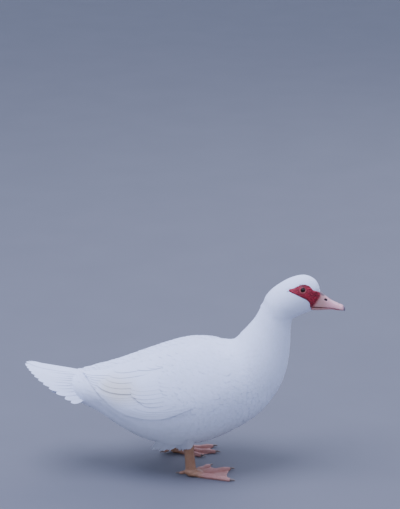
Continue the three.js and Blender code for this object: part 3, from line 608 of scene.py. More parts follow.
def plumage(name, tint, barbs):
    """White feather keratin, matt with a little sheen. The eye sees soft white with cool shade,
    greyer and warmer towards the bottom, a cream stain on the rear of the wings, and fine barbs
    on the large vanes."""
    material, tree, shader, place = new_material(name, {
        "Roughness": 0.7,
        "IOR": 1.54,
        "Specular IOR Level": 0.25,
        "Sheen Weight": 0.15,
        "Sheen Roughness": 0.5,
    })
    island = add(tree, "NewGeometry").outputs["Random Per Island"]
    height = add(tree, "SeparateXYZ", {0: place}).outputs[2]
    colour = tinted(tree, tint, (island, 0.0, 1.0, 0.35, "#e4e7ee"), (height, 0.135, 0.06, 0.55, "#cfccc2"))
    broad = add(tree, "TexNoise", {"Vector": place, "Scale": 1 / 0.06, "Detail": 3.0}).outputs[0]
    patch = add(tree, "MapRange", {0: broad, 1: 0.35, 2: 0.7}, interpolation_type="SMOOTHSTEP").outputs[0]
    left = add(tree, "VectorMath", {0: place, 1: (1.0, -1.0, 1.0)}, operation="MULTIPLY").outputs[0]
    for side in (place, left):
        away = reach(tree, side, (-112, -52, 158), (80, 60, 34))
        near = add(tree, "MapRange", {0: away, 1: 1.0, 2: 0.15, 4: 0.6}, interpolation_type="SMOOTHSTEP")
        stain = add(tree, "Math", {0: near.outputs[0], 1: patch}, operation="MULTIPLY").outputs[0]
        colour = add(tree, "Mix", {0: stain, 6: colour, 7: "#e3d3b4"}, data_type="RGBA").outputs[2]
    tree.links.new(colour, shader.inputs["Base Color"])
    if barbs:
        # Barbs stand 0.4 mm apart; drawn 1.5 mm apart so that they show
        vane = add(tree, "UVMap", uv_map="Vane").outputs[0]
        axes = add(tree, "SeparateXYZ", {0: vane})
        centred = add(tree, "Math", {0: axes.outputs[0], 1: 0.5}, operation="SUBTRACT")
        out = add(tree, "Math", {0: centred.outputs[0]}, operation="ABSOLUTE")
        slope = add(tree, "Math", {0: out.outputs[0], 1: -0.16, 2: axes.outputs[1]},
                    operation="MULTIPLY_ADD")
        wave = add(tree, "Math", {0: slope.outputs[0], 1: 2 * math.pi * 60}, operation="MULTIPLY")
        barb = add(tree, "Math", {0: wave.outputs[0]}, operation="SINE")
        bump = add(tree, "Bump", {"Height": barb.outputs[0], "Strength": 0.12, "Distance": 0.0003})
        tree.links.new(bump.outputs[0], shader.inputs["Normal"])
    return material


def ahead_of_face(tree, place):
    """How far a place lies ahead of the face's front edge, in metres, with a ragged border."""
    run = (FRONT[0] - FRONT[1]) / np.linalg.norm(FRONT[0] - FRONT[1])
    across = (run[1], 0.0, -run[0])
    offset = add(tree, "VectorMath", {0: place, 1: (FRONT[0, 0] * MM, 0.0, FRONT[0, 1] * MM)},
                 operation="SUBTRACT")
    straight = add(tree, "VectorMath", {0: offset.outputs[0], 1: across}, operation="DOT_PRODUCT")
    rag = add(tree, "TexNoise", {"Vector": place, "Scale": 1 / 0.004, "Detail": 3.0}).outputs[0]
    return add(tree, "Math", {0: rag, 1: 0.005, 2: straight.outputs["Value"]},
               operation="MULTIPLY_ADD").outputs[0]


def dark_patch(tree, place):
    """The slate-coloured skin on the culmen's root, as a tint."""
    return reach(tree, place, (229, 0, 313), (7.5, 12, 9)), 1.1, 0.7, 0.85, "#5a4c50"


def wattle_skin():
    """Bare, blood-rich skin: deep crimson, with painted shade between its pebbles and in the fold at
    the mouth's corner, and a pale rim round the eye. It pales to salmon where it runs out on the bill."""
    material, tree, shader, place = new_material("bare_red_skin", {
        "Roughness": 0.45,
        "IOR": 1.4,
        "Subsurface Weight": 0.1,
        "Subsurface Radius": (1.0, 0.25, 0.15),
        "Subsurface Scale": 0.001,
    })
    mottle = add(tree, "TexNoise", {"Vector": place, "Scale": 1 / 0.007, "Detail": 4.0}).outputs[0]
    pebble = add(tree, "TexVoronoi", {"Vector": place, "Scale": 1 / 0.0012}, feature="SMOOTH_F1").outputs[0]
    # The same place on the left side, so that both cheeks are marked alike
    left = add(tree, "VectorMath", {0: place}, operation="ABSOLUTE").outputs[0]
    brow = reach(tree, left, (194, 21, 329.5), (11, None, 3))
    # Where shade is painted in the fold at the mouth's corner
    mouth_fold_shade = reach(tree, left, (211.5, 14, 289), (5, None, 5))
    lids = reach(tree, left, (EYE[0], 0, EYE[2]), (LID[0], None, LID[1]))
    colour = tinted(
        tree,
        "#82182a",
        (mottle, 0.3, 0.7, 1.0, "#b8243a"),
        # Painted shade between the pebbles
        (pebble, 0.25, 0.75, 0.55, "#5c0d16"),
        (brow, 1.1, 0.3, 0.6, "#552021"),
        # Painted shade in the fold at the mouth's corner
        (mouth_fold_shade, 1.3, 0.4, 0.75, "#4a1018"),
        (lids, 1.65, 1.15, 0.85, "#b0645f"),
        (ahead_of_face(tree, place), -0.0025, 0.0045, 1.0, "#cf8079"),
        dark_patch(tree, place),
    )
    tree.links.new(colour, shader.inputs["Base Color"])
    bump = add(tree, "Bump", {"Height": pebble, "Strength": 0.5, "Distance": 0.0005}, invert=True)
    tree.links.new(bump.outputs[0], shader.inputs["Normal"])
    return material


def bill_skin():
    """Leathery skin over the bill's bone: flesh pink, salmon at its root, with a slate-grey horny
    nail, and painted shade in the nostrils."""
    material, tree, shader, place = new_material("bill_skin_and_nail", {
        "Roughness": 0.38,
        "IOR": 1.5,
        "Subsurface Weight": 0.12,
        "Subsurface Radius": (1.0, 0.4, 0.3),
        "Subsurface Scale": 0.001,
    })
    along = add(tree, "SeparateXYZ", {0: place}).outputs[0]
    mottle = add(tree, "TexNoise", {"Vector": place, "Scale": 1 / 0.009, "Detail": 4.0}).outputs[0]
    flesh = add(tree, "Mix", {0: mottle, 6: "#d98f92", 7: "#eab3b1"}, data_type="RGBA").outputs[2]
    offset = add(tree, "VectorMath", {0: place, 1: (NOSTRIL[0] * MM, 0.0, NOSTRIL[2] * MM)},
                 operation="SUBTRACT").outputs[0]
    parts = []
    for way, size in zip(NOSTRIL_WAYS, (3.5, 1.7)):
        ruler = [step / (size * MM) for step in way]
        measured = add(tree, "VectorMath", {0: offset, 1: ruler}, operation="DOT_PRODUCT")
        parts.append(measured.outputs["Value"])
    pair = add(tree, "CombineXYZ", {0: parts[0], 1: parts[1]}).outputs[0]
    from_nostril = add(tree, "VectorMath", {0: pair}, operation="LENGTH").outputs["Value"]
    # Salmon at the root, red along the face's edge, slate grey on the nail, painted shade in the nostrils
    colour = tinted(
        tree,
        flesh,
        (along, 0.242, 0.226, 0.8, "#cf9a8c"),
        (ahead_of_face(tree, place), 0.006, -0.001, 1.0, "#b9474c"),
        (along, 0.2605, 0.2645, 0.9, "#5f5664"),
        (from_nostril, 1.1, 0.75, 1.0, "#2a1216"),
        dark_patch(tree, place),
    )
    tree.links.new(colour, shader.inputs["Base Color"])
    grain = add(tree, "TexNoise", {"Vector": place, "Scale": 1 / 0.0012, "Detail": 3.0}).outputs[0]
    bump = add(tree, "Bump", {"Height": grain, "Strength": 0.15, "Distance": 0.0003})
    tree.links.new(bump.outputs[0], shader.inputs["Normal"])
    return material


def eye_wet(side):
    """A wet cornea over a dark brown iris and a black pupil, drawn as rings round the eye's axis."""
    material, tree, shader, place = new_material(f"eye_{side}", {
        "Roughness": 0.15,
        "IOR": 1.38,
        "Coat Weight": 0.3,
        "Coat Roughness": 0.05,
    })
    away = reach(tree, place, (EYE[0], 0, EYE[2]), (1, None, 1))
    fibres = add(tree, "TexNoise", {"Vector": place, "Scale": 1 / 0.0008, "Detail": 2.0}).outputs[0]
    iris = add(tree, "Mix", {0: fibres, 6: "#26130d", 7: "#4c2b1d"}, data_type="RGBA").outputs[2]
    colour = tinted(tree, iris, (away, 2.2, 1.9, 1.0, "#050404"), (away, 3.2, 3.8, 1.0, "#1c0f0b"))
    tree.links.new(colour, shader.inputs["Base Color"])
    return material


def leg_skin():
    """Scaly leg skin: low horny scutes with darker grooves, ochre on the shanks and dusty pink on
    the toes and webs."""
    material, tree, shader, place = new_material("leg_and_web_skin", {"Roughness": 0.5, "IOR": 1.5})
    warp = add(tree, "TexNoise", {"Vector": place, "Scale": 1 / 0.01, "Detail": 3.0}).outputs[0]
    scute = add(tree, "TexVoronoi", {"Vector": place, "Scale": 1 / 0.0016}, feature="DISTANCE_TO_EDGE")
    groove = add(tree, "MapRange", {0: scute.outputs[0], 1: 0.0, 2: 0.1},
                 interpolation_type="SMOOTHSTEP").outputs[0]
    ochre = add(tree, "Mix", {0: warp, 6: "#8f5d40", 7: "#b58a66"}, data_type="RGBA").outputs[2]
    pink = add(tree, "Mix", {0: warp, 6: "#aa6a5c", 7: "#c79384"}, data_type="RGBA").outputs[2]
    right = reach(tree, place, FOOT_BASES["right"], (20, 20, 400))
    left = reach(tree, place, FOOT_BASES["left"], (20, 20, 400))
    nearer = add(tree, "Math", {0: right, 1: left}, operation="MINIMUM").outputs[0]
    colour = tinted(tree, ochre, (nearer, 0.5, 1.5, 1.0, pink), (groove, 1.0, 0.0, 0.35, "#7d4f33"))
    tree.links.new(colour, shader.inputs["Base Color"])
    bump = add(tree, "Bump", {"Height": groove, "Strength": 0.4, "Distance": 0.0004})
    tree.links.new(bump.outputs[0], shader.inputs["Normal"])
    return material


def claw_horn():
    """Keratin claw: dark brown horn, dull with a little polish."""
    material, tree, shader, place = new_material("claw_horn", {"Roughness": 0.4, "IOR": 1.55})
    streak = add(tree, "TexNoise", {"Vector": place, "Scale": 1 / 0.0015, "Detail": 3.0}).outputs[0]
    colour = add(tree, "Mix", {0: streak, 6: "#4a3a32", 7: "#9a8272"}, data_type="RGBA").outputs[2]
    tree.links.new(colour, shader.inputs["Base Color"])
    return material


def floor_paint():
    """Matt floor paint, a neutral grey that the sky's light lifts to a pale tone, with nothing on it
    to draw the eye."""
    material, tree, shader, place = new_material("pale_floor", {"Roughness": 0.8})
    grain = add(tree, "TexNoise", {"Vector": place, "Scale": 1 / 0.15, "Detail": 3.0}).outputs[0]
    colour = add(tree, "Mix", {0: grain, 6: "#6a686b", 7: "#706e71"}, data_type="RGBA").outputs[2]
    tree.links.new(colour, shader.inputs["Base Color"])
    return material


# Skin

# How far the skin lies under the plumage's surface, by section number
SKIN_DEPTH = [(0, 2.5), (2, 4), (8, 4), (11, 2.4), (14, 1.6), (17, 1.1), (19, 0.8)]


def skin(material):
    """One skin from the tail to the bill, with the folded forearms as low swellings in it."""
    rings, sides = 300, 180
    u = np.linspace(0.01, LAST - 0.01, rings)[:, None]
    phi = np.linspace(-math.pi, math.pi, sides, endpoint=False)[None, :]
    u, phi = np.broadcast_arrays(u, phi)
    _, _, normal = body_frame(u, phi)
    under_face = 2.6 * smooth(-0.4, 1.2, bare(u, phi))
    x, _, z = np.moveaxis(body_point(u, phi), -1, 0)
    gape = smooth(GAPE_LOW - 1.5, GAPE_LOW + 2.5, z) * (1 - smooth(GAPE_HIGH - 1, GAPE_HIGH + 3, z))
    under_gape = 3.0 * smooth(GAPE_X - 4, GAPE_X + 2, x) * gape
    depth = np.interp(u, *zip(*SKIN_DEPTH)) + np.maximum(under_face, under_gape)
    over = coat_height(u, phi) + wing_dome(u, phi) - depth
    points = body_point(u, phi) + normal * over[..., None]
    made = lofted("skin", points, material)
    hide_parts("torso", "neck", "head")


# Plumage

def off_the_wing(u, phi):
    """Places with small feathers: none under the wing, on the bare skin or at the corner of the mouth."""
    t, q = wing_place(u, phi)
    covered = (q > 0.1) & (q < 0.88) & (t > 0.14) & (t < 1.12)
    x, _, z = np.moveaxis(body_point(u, phi), -1, 0)
    gape = (x > GAPE_X) & (z > GAPE_LOW) & (z < GAPE_HIGH)
    return ~covered & ~gape & (bare(u, phi) < 0.2)


def body_coats(white):
    """The small feathers of the body in three pieces, from the neck to the tail."""
    for name, low, high, seed, depth in (
        ("rump_and_loin_feathers", 0.04, AT["loins"] + 0.5, 3, 2.0),
        ("belly_and_back_feathers", AT["loins"] + 0.4, AT["shoulders"] + 0.2, 4, 2.2),
        ("breast_feathers", AT["shoulders"] + 0.1, AT["low neck"] + 0.1, 5, 2.1),
    ):
        coat = Coat()
        places = rows_of_feathers(low, high, seed, off_the_wing)
        small_feathers(coat, coat_height, places, seed + 100, depth)
        coat.build(name, white)


def neck_and_head_coats(white):
    """Short feathers, smallest round the face."""
    for name, low, high, seed, sign in (
        ("neck_feathers", AT["low neck"], 14.5, 8, -1),
        ("head_feathers", 12.3, LAST - 0.25, 9, 1),
    ):
        coat = Coat()
        places = rows_of_feathers(low, high, seed, off_the_wing)
        places = places[sign * (places[:, 0] - crease(places[:, 1])) > -0.03]
        small_feathers(coat, coat_height, places, seed + 100, 1.9, 3.8, DOWNY, 0.8)
        coat.build(name, white)


def on_the_wing(u, phi):
    t, q = wing_place(u, phi)
    return (q > -0.02) & (q < 1.0) & (t > 0.06) & (t < 0.56)


def wings(white, vane_white):
    """Each wing: the small coverts on the forearm, then tiers of long feathers behind them."""
    for name, side in SIDES.items():
        coat = Coat()
        places = rows_of_feathers(AT["loins"], AT["breast"] + 0.2, 21, on_the_wing)
        places = places[np.sign(places[:, 1]) == side]
        small_feathers(coat, wing_height, places, 22, 1.9, overlap=2.6)
        coat.build(f"wing_{name}_small_coverts", white)
        flight = Coat()
        draw = np.random.default_rng(30)
        for tier in wing_tiers(draw):
            lay_on_wing(flight, side, **tier)
        flight.build(f"wing_{name}_feathers", vane_white, f"wing_{name}")


def wing_tiers(draw):
    """Tiers of long feathers, from the innermost out. t runs from the lowest to the highest one."""
    def steps(count):
        t = np.linspace(0, 1, count)
        return t, draw.uniform(-1, 1, count), np.ones(count)

    # Primaries
    t, jog, one = steps(8)
    yield dict(root=(-62 * one, mix(66, 30, t)), tip=(mix(-150, -169, t**0.8) + jog, mix(62, 12, t)),
               half=10.5 * one, lift=(1.6 * one, mix(0.7, 4.4, t)), tilt=0.1)
    # Secondaries
    t, jog, one = steps(9)
    yield dict(root=(-48 * one, mix(85, 58, t)), tip=(mix(-118, -149, t**0.6) + jog, mix(93, 64, t)),
               half=10 * one, lift=(2.2 * one, mix(1.0, 3.0, t)), tilt=0.09)
    # Tertials
    t, jog, one = steps(5)
    yield dict(root=(-30 * one, mix(56, 26, t)), tip=(mix(-146, -118, t) + 2 * jog, mix(50, 20, t)),
               half=13 * one, lift=(3 * one, mix(4.2, 5.2, t)), tilt=0.08)
    # The long feathers along the lower edge
    t, jog, one = steps(5)
    yield dict(root=(mix(-20, 24, t), mix(92, 84, t)), tip=(mix(-112, -86, t) + 2 * jog, mix(92, 81, t)),
               half=6.5 * one, lift=(3.4 * one, mix(2.2, 4.0, t)), tilt=0.12)
    # Greater and middle coverts
    t, jog, one = steps(10)
    arch = np.sin(np.pi * t)
    yield dict(root=(-14 * one, mix(79, 38, t)), tip=(mix(-60, -90, arch) + 3 * jog, mix(79, 34, t)),
               half=8.5 * one, lift=(4.2 * one, mix(3.6, 5.4, arch)), tilt=0.08, outline=COVERT)
    t, jog, one = steps(13)
    arch = np.sin(np.pi * t)
    yield dict(root=(22 * one, mix(81, 34, t)), tip=(mix(-26, -42, arch) + 3 * jog, mix(81, 30, t)),
               half=8 * one, lift=(3.6 * one, mix(4.0, 6.4, arch)), tilt=0.08, outline=COVERT)
    # Two rows of scapulars beside the back
    t, jog, one = steps(8)
    yield dict(root=(mix(62, -46, t), mix(27, 20, t)), tip=(mix(0, -102, t) + 2 * jog, mix(20, 13, t)),
               half=11 * one, lift=(mix(0.6, 2.6, t**0.5), mix(5.6, 4.2, t)), tilt=0.04, outline=COVERT)
    t, jog, one = steps(7)
    yield dict(root=(mix(70, -20, t), mix(38, 32, t)), tip=(mix(14, -82, t) + 2 * jog, mix(33, 26, t)),
               half=10.5 * one, lift=(mix(0.4, 3.4, t**0.5), mix(6.4, 5.4, t)), tilt=0.04, outline=COVERT)


# Root and tip of one side's tail feathers, from the innermost to the outermost
TAIL_TIPS = [(-266.5, 7, 186), (-260, 22, 182.5), (-246, 38, 173), (-222, 48, 156.5), (-188, 51, 134)]
TAIL_ROOTS = [(-172, 4, 170), (-172, 10, 167), (-171, 17, 160), (-168, 23, 150), (-162, 27, 139)]
TAIL_PAIRS = 12
# Tiers of coverts over and under the tail's roots: their length as a share, and their half width
TAIL_COVERT_TIERS = [(1.0, 9), (0.72, 8.5), (0.48, 8)]
TAIL_COVERTS = 6
TAIL_VANE = [
    (0, 0.3), (0.06, 0.5), (0.14, 0.72), (0.25, 0.88), (0.4, 0.97), (0.55, 1), (0.68, 0.95), (0.79, 0.82),
    (0.88, 0.62), (0.95, 0.38), (1, 0.1),
]


def tail(vane_white, white):
    """The fan of the tail, roofed along its middle, and the coverts over and under its roots."""
    fan = Coat()
    covers = Coat()
    for side in (1, -1):
        t = np.linspace(0, 1, TAIL_PAIRS)
        tips = through(TAIL_TIPS, t * (len(TAIL_TIPS) - 1)) * (1, side, 1)
        roots = through(TAIL_ROOTS, t * (len(TAIL_ROOTS) - 1)) * (1, side, 1)
        lean = np.radians(mix(14, 62, t))
        up = np.stack([0 * t, side * np.sin(lean), np.cos(lean)], -1)
        # Along the middle the right half lies over the left one
        tips[:, 2] -= 0.8 * side
        roots[:, 2] -= 0.8 * side
        home = (np.full(TAIL_PAIRS, 1.2), side * lean)
        stand_free(fan, roots, tips, up, mix(11.5, 6.5, t), home, TAIL_VANE, sag=1.0,
                   roll=side * math.radians(9))
        t = (np.arange(TAIL_COVERTS) + 0.5) / TAIL_COVERTS
        lean = np.radians(mix(6, 78, t))
        zero = 0 * t
        up = np.stack([zero, side * np.sin(lean), np.cos(lean)], -1)
        down = np.stack([zero, side * mix(0.1, 0.9, t), zero - 1], -1)
        above = (
            np.stack([zero - 168, side * mix(3, 28, t), mix(171.5, 150, t)], -1),
            np.stack([mix(-226, -206, t), side * mix(4, 38, t), mix(181.5, 152, t)], -1),
        )
        below = (
            np.stack([zero - 170, side * mix(2, 22, t), mix(124, 134, t)], -1),
            np.stack([mix(-226, -210, t), side * mix(3, 27, t), mix(136, 141, t)], -1),
        )
        over = (*above, up, (zero + 1.0, side * lean), 1.2)
        under = (*below, down, (zero + 0.8, side * (math.pi - 0.6 * lean)), 2)
        for share, half in TAIL_COVERT_TIERS:
            for start, end, way, home, rise in (over, under):
                step = way * (1 - share)
                root, tip = start + step, start + (end - start) * share + step * rise
                stand_free(covers, root, tip, way, zero + half, home, COVERT, camber=90)
    ridge = ([(-172, 0, 171.5)], [(-264, 0, 187.6)], [(0, 0, 1)])
    stand_free(fan, *ridge, np.array([12.0]), (np.array([1.2]), np.array([0.0])), TAIL_VANE, sag=1.0)
    fan.build("tail_feathers", vane_white, "tail")
    covers.build("tail_coverts", white)


# Outline and columns of the soft feathers round the shin and on the thigh
LOCK = [(0, 0.5), (0.2, 0.85), (0.45, 1), (0.7, 0.8), (0.88, 0.45), (1, 0.08)]
LOCK_COLUMNS = (-1, -0.4, 0, 0.4, 1)
# The shin's flesh: height over the ankle and radius of each ring
SHIN_FLESH = [(-3, 8), (3, 10.4), (11, 13), (19, 15.5), (27, 16)]
# Rings of feathers round the shin, from the top down: height over the ankle, radius, number, length
SHIN_RINGS = [(18, 18, 42, 17), (14, 16.5, 40, 16), (10, 15, 38, 15), (6, 13.5, 36, 13), (2, 12, 32, 11)]
# Root, tip and half width of each lock that hangs from the thigh, measured from the thigh's middle
# with outwards positive
THIGH_LOCKS = [
    ((-10, -5, 5), (-34, -7, -20), 5.6), ((0, -4, 3), (-21, -6, -22), 5.4),
    ((10, -4, 2), (-8, -6, -20), 5.0), ((-4, -10, 0), (-24, -14, -19), 5.4),
]
FEATHERS_PER_LOCK = 5


def shins(white):
    """The feathered shins: soft feathers that hang round each ankle, and longer pointed ones
    from the back of the thigh."""
    turn = np.linspace(0, 2 * math.pi, 32, endpoint=False)
    circle = np.stack([np.cos(turn), np.sin(turn), 0 * turn], -1)
    for name, side in SIDES.items():
        coat = Coat()
        draw = np.random.default_rng(40)
        ankle, thigh = np.array(ANKLES[name], float), np.array(THIGHS[name], float)
        rings = [ankle + (0, 0, rise) + radius * circle for rise, radius in SHIN_FLESH]
        flesh = lofted(f"shin_{name}_skin", np.array(rings), white)
        shin_rings(coat, draw, ankle, side)
        thigh_locks(coat, draw, thigh, side)
        coat.build(f"shin_{name}_feathers", white, f"shin_{name}")


def shin_rings(coat, draw, ankle, side):
    """Soft feathers in staggered rings round the shin, a little longer behind."""
    for level, (rise, radius, count, length) in enumerate(SHIN_RINGS):
        turn = 2 * np.pi * (np.arange(count) + 0.5 * (level % 2)) / count
        out = np.stack([np.cos(turn), np.sin(turn), 0 * turn], -1)
        rear = np.maximum(0, -out[:, :1])
        root = ankle + out * radius * (1 + 0.2 * rear) + (-1, 0, rise)
        fall = out * (-0.25 + 0.25 * rear) + np.array([-0.15, 0, -1.0])
        tip = root + unit(fall) * length * draw.uniform(0.85, 1.15, (count, 1)) * (1 + 0.2 * rear)
        home = (np.full(count, 5.2), np.full(count, side * math.radians(148)))
        stand_free(coat, root, tip, out + (0, 0, -0.1), np.full(count, 2.5), home, LOCK, thick=0.3,
                   camber=50, columns=LOCK_COLUMNS, shade=0.7 * out + (0, 0, -0.7))


def thigh_locks(coat, draw, thigh, side):
    """Longer pointed feathers in locks from the thigh, spread a little from front to back."""
    spread = np.linspace(-1, 1, FEATHERS_PER_LOCK)[:, None]
    one = np.ones(FEATHERS_PER_LOCK)
    home = (4.6 * one, side * math.radians(135) * one)
    for start, end, half in THIGH_LOCKS:
        root = thigh + np.array(start) * (1, side, 1) + spread * (5, 0, -2)
        tip = thigh + np.array(end) * (1, side, 1) + spread * (4.5, side, 1.0)
        tip = tip + draw.uniform(-1.2, 1.2, (FEATHERS_PER_LOCK, 3)) + (0, 0, 2.5) * np.abs(spread)
        raised = root + (0, side, 0) * (0.8 - 0.5 * np.abs(spread))
        way = np.outer(one, (-0.3, side, -0.5))
        stand_free(coat, raised, tip, way, 0.62 * half * one, home, LOCK, thick=0.3, camber=60,
                   columns=LOCK_COLUMNS, shade=np.outer(one, (-0.2, 0.7 * side, -0.7)))


# Head

WARTS_TRIED = 2600


def wart_places():
    """Middle and radius of each wart: largest first, clear of the eye, the edge and each other."""
    draw = np.random.default_rng(50)
    u = draw.uniform(14.8, LAST, WARTS_TRIED)
    centre = body_point(u, np.radians(draw.uniform(16, 145, WARTS_TRIED)))
    depth = inside_face(centre[:, 0], centre[:, 2])
    gap = lid_rings(centre)
    size = mix(0.7, 1.9, smooth(196, 221, centre[:, 0])) * draw.uniform(0.75, 1.2, WARTS_TRIED)
    chosen = []
    for i in np.argsort(-size):
        clear = all(np.linalg.norm(centre[i] - centre[j]) > 0.8 * (size[i] + size[j]) for j in chosen)
        if depth[i] > 0.35 * size[i] and gap[i] > 1.5 and clear:
            chosen.append(i)
    return centre[chosen], size[chosen]


def lid_rings(point):
    """Distance from the eye's middle, seen from the side, as a share of the lids' opening."""
    return np.hypot((point[..., 0] - EYE[0]) / LID[0], (point[..., 2] - EYE[2]) / LID[1])


def face(material):
    """The bare skin of both cheeks and the bill's root: warts, lids and a beaded edge."""
    us = np.linspace(14.6, LAST - 0.02, 230)
    phis = np.radians(np.linspace(-152, 152, 420))
    u, phi = (g.copy() for g in np.meshgrid(us, phis, indexing="ij"))
    base = body_point(u, phi)
    _, _, normal = body_frame(u, phi)
    edge = inside_face(base[..., 0], base[..., 2])
    warts = np.zeros(u.shape)
    for centre, size in zip(*wart_places()):
        for mirror in (1, -1):
            away = np.linalg.norm(base - centre * (1, mirror, 1), axis=-1)
            bulge = size * 0.62 * np.sqrt(np.clip(1 - (away / (size * 1.12)) ** 2, 0, 1))
            warts = np.maximum(warts, bulge)
    run = FRONT[0] - FRONT[1]
    offset = np.stack([base[..., 0], base[..., 2]], -1) - FRONT[0]
    ahead = (offset[..., 0] * run[1] - offset[..., 1] * run[0]) / np.linalg.norm(run)
    # The skin thins out towards the bill and over the culmen, and rises in two rolls at the lids
    thinned = 2.2 * smooth(-4, 2, ahead)
    culmen = 2.2 * (1 - smooth(28, 55, np.degrees(np.abs(phi)))) * smooth(17.4, 18.4, u)
    ring = lid_rings(base)
    lid = 1.5 * np.exp(-(((ring - 1.16) / 0.14) ** 2)) + 0.5 * np.exp(-(((ring - 1.5) / 0.1) ** 2))
    over = swell(u, phi) + mix(-1.1, 0.5, smooth(-0.9, 0.9, edge)) - thinned - culmen
    over = over + warts * (1 - 0.85 * smooth(-6, 1, ahead)) + lid - 3.0 * (1 - smooth(0.86, 1.06, ring))
    points = base + normal * over[..., None]
    rows, cols = u.shape
    index = np.arange(rows * cols).reshape(rows, cols)
    quads = np.stack([index[:-1, :-1], index[:-1, 1:], index[1:, 1:], index[1:, :-1]], -1).reshape(-1, 4)
    shown = ((edge > -1.1) & (ring > 0.8)).ravel()
    quads = quads[shown[quads].all(1)]
    used, inverse = np.unique(quads, return_inverse=True)
    top = points.reshape(-1, 3)[used]
    inner = (base + normal * (over - 0.8)[..., None]).reshape(-1, 3)[used]
    made = mesh_object("bare_face_skin", *closed_sheet(top, inner, inverse.reshape(-1, 4)), material)
    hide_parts("face")


def closed_sheet(top, inner, quads):
    """A sheet with an inner face and a rim, from its outer points, inner points and quads."""
    edges = np.concatenate([quads[:, [k, (k + 1) % 4]] for k in range(4)])
    keys = edges[:, 0] * len(top) + edges[:, 1]
    backs = edges[:, 1] * len(top) + edges[:, 0]
    rim = edges[~np.isin(keys, backs)]
    wall = np.stack([rim[:, 1], rim[:, 0], rim[:, 0] + len(top), rim[:, 1] + len(top)], -1)
    faces = np.concatenate([quads, quads[:, ::-1] + len(top), wall])
    return np.concatenate([top, inner]), faces.tolist()


def eyes():
    """Smooth balls in the place of the solid ones."""
    for name, side in SIDES.items():
        rings, sides = 36, 56
        turn = np.linspace(0.02, math.pi - 0.02, rings)[:, None]
        around = np.linspace(0, 2 * math.pi, sides, endpoint=False)[None, :]
        ball = np.stack([
            np.sin(turn) * np.cos(around),
            side * np.cos(turn) * np.ones(around.shape),
            side * np.sin(turn) * np.sin(around),
        ], -1)
        made = lofted(f"eyeball_{name}", EYE * (1, side, 1) + ball * (EYE_RADIUS - 0.1), eye_wet(name))
        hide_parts(f"eye_{name}")


# The bill by x: top, cutting edge and half width
BILL = [
    (206, 318, 289.5, 18), (216, 315.5, 288, 16.2), (226, 311.5, 286.6, 13), (233, 305, 286.2, 11.4),
    (241, 298.4, 285.7, 10.9), (249, 293.8, 285.0, 11), (257, 290, 283.4, 10.6), (262.5, 287, 281.2, 8),
    (265.4, 285, 279, 4.6), (266.3, 282.8, 278.6, 1.6),
]


def bill_rings(first, last, rings, sides):
    """The bill's measures at each ring, and the cosine and sine of each place round it."""
    x, top, edge, half = (v[:, None] for v in through(BILL, np.linspace(first, last, rings)).T)
    turn = np.linspace(0, 2 * math.pi, sides, endpoint=False)[None, :]
    return x, top, edge, half, np.cos(turn), np.sin(turn)


def upper_bill(material):
    """The upper bill, with a raised nail at its tip and a sunk nostril on each side."""
    x, top, edge, half, c, s = bill_rings(0.55, len(BILL) - 1, 90, 72)
    level = edge + 0.14 * (top - edge)
    rise = np.where(s > 0, 0.86, 0.14) * (top - edge)
    width = half * np.sign(c) * np.abs(c) ** 0.8
    upside = smooth(0.2, 0.8, s)
    nail = 0.9 * np.exp(-(((x - 262) / 3.4) ** 2)) * upside * (1 - smooth(3.4, 4.6, np.abs(width)))
    dip = 0.5 * np.exp(-(((x - 256.5) / 1.3) ** 2)) * upside
    points = np.stack([x + 0 * s, width, level + rise * s + nail - dip], -1)
    for mirror in (1, -1):
        offset = points - NOSTRIL * (1, mirror, 1)
        long_way, short_way = (offset @ np.array(way) for way in NOSTRIL_WAYS)
        away = np.hypot(long_way / 3.7, short_way / 1.7)
        near = np.abs(offset[..., 1]) < 6
        hole = 2.6 * (1 - smooth(0.35, 1.05, away)) * near
        rim = 0.35 * np.exp(-(((away - 1.25) / 0.22) ** 2)) * near
        points[..., 1] -= mirror * (hole - rim)
    upper = lofted("upper_bill", points, material)
    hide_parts("bill_upper")


def lower_bill(material):
    """The lower bill, tucked under the upper one's edge."""
    x, _, edge, half, c, s = bill_rings(0.6, len(BILL) - 2, 70, 48)
    tip = np.sqrt(np.clip(1 - smooth(252, 266, x) ** 2, 0.02, 1))
    deep = mix(6.6, 2.6, smooth(206, 260, x)) * tip
    tucked = mix(2.4, 1.1, smooth(236, 256, x))
    width = (half - tucked) * tip * np.sign(c) * np.abs(c) ** 0.7
    points = np.stack([x - 2.2 + 0 * s, width, edge - 0.3 + np.where(s > 0, 0.2, deep) * s], -1)
    made = lofted("lower_bill", points, material)
    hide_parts("bill_lower")


# Legs and feet

def softened(node, name, voxel_mm, passes, material, puff=0.0, knuckle=None):
    """The solid's own shape with its facets melted into flesh and puffed out again. knuckle is the
    middle and the radii of a swelling at its joint."""
    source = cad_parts[node]
    work = into_scene(name + "_work", source.data.copy())
    if knuckle:
        grown = bmesh.new()
        grown.from_mesh(work.data)
        middle, radii = (Vector(v) * MM for v in knuckle)
        bmesh.ops.create_uvsphere(grown, u_segments=24, v_segments=16, radius=1.0,
                                  matrix=Matrix.LocRotScale(middle, None, radii))
        grown.to_mesh(work.data)
        grown.free()
    remesh = work.modifiers.new("remesh", "REMESH")
    remesh.mode = "VOXEL"
    remesh.voxel_size = voxel_mm * MM
    relax = work.modifiers.new("relax", "SMOOTH")
    relax.factor = 0.5
    relax.iterations = passes
    swollen = work.modifiers.new("swollen", "DISPLACE")
    swollen.strength = puff * MM
    swollen.mid_level = 0.0
    graph = bpy.context.evaluated_depsgraph_get()
    mesh = bpy.data.meshes.new_from_object(work.evaluated_get(graph))
    bpy.data.objects.remove(work)
    mesh.materials.clear()
    mesh.materials.append(material)
    mesh.polygons.foreach_set("use_smooth", [True] * len(mesh.polygons))
    made = into_scene(name, mesh)
    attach(made, "root")
    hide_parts(node)


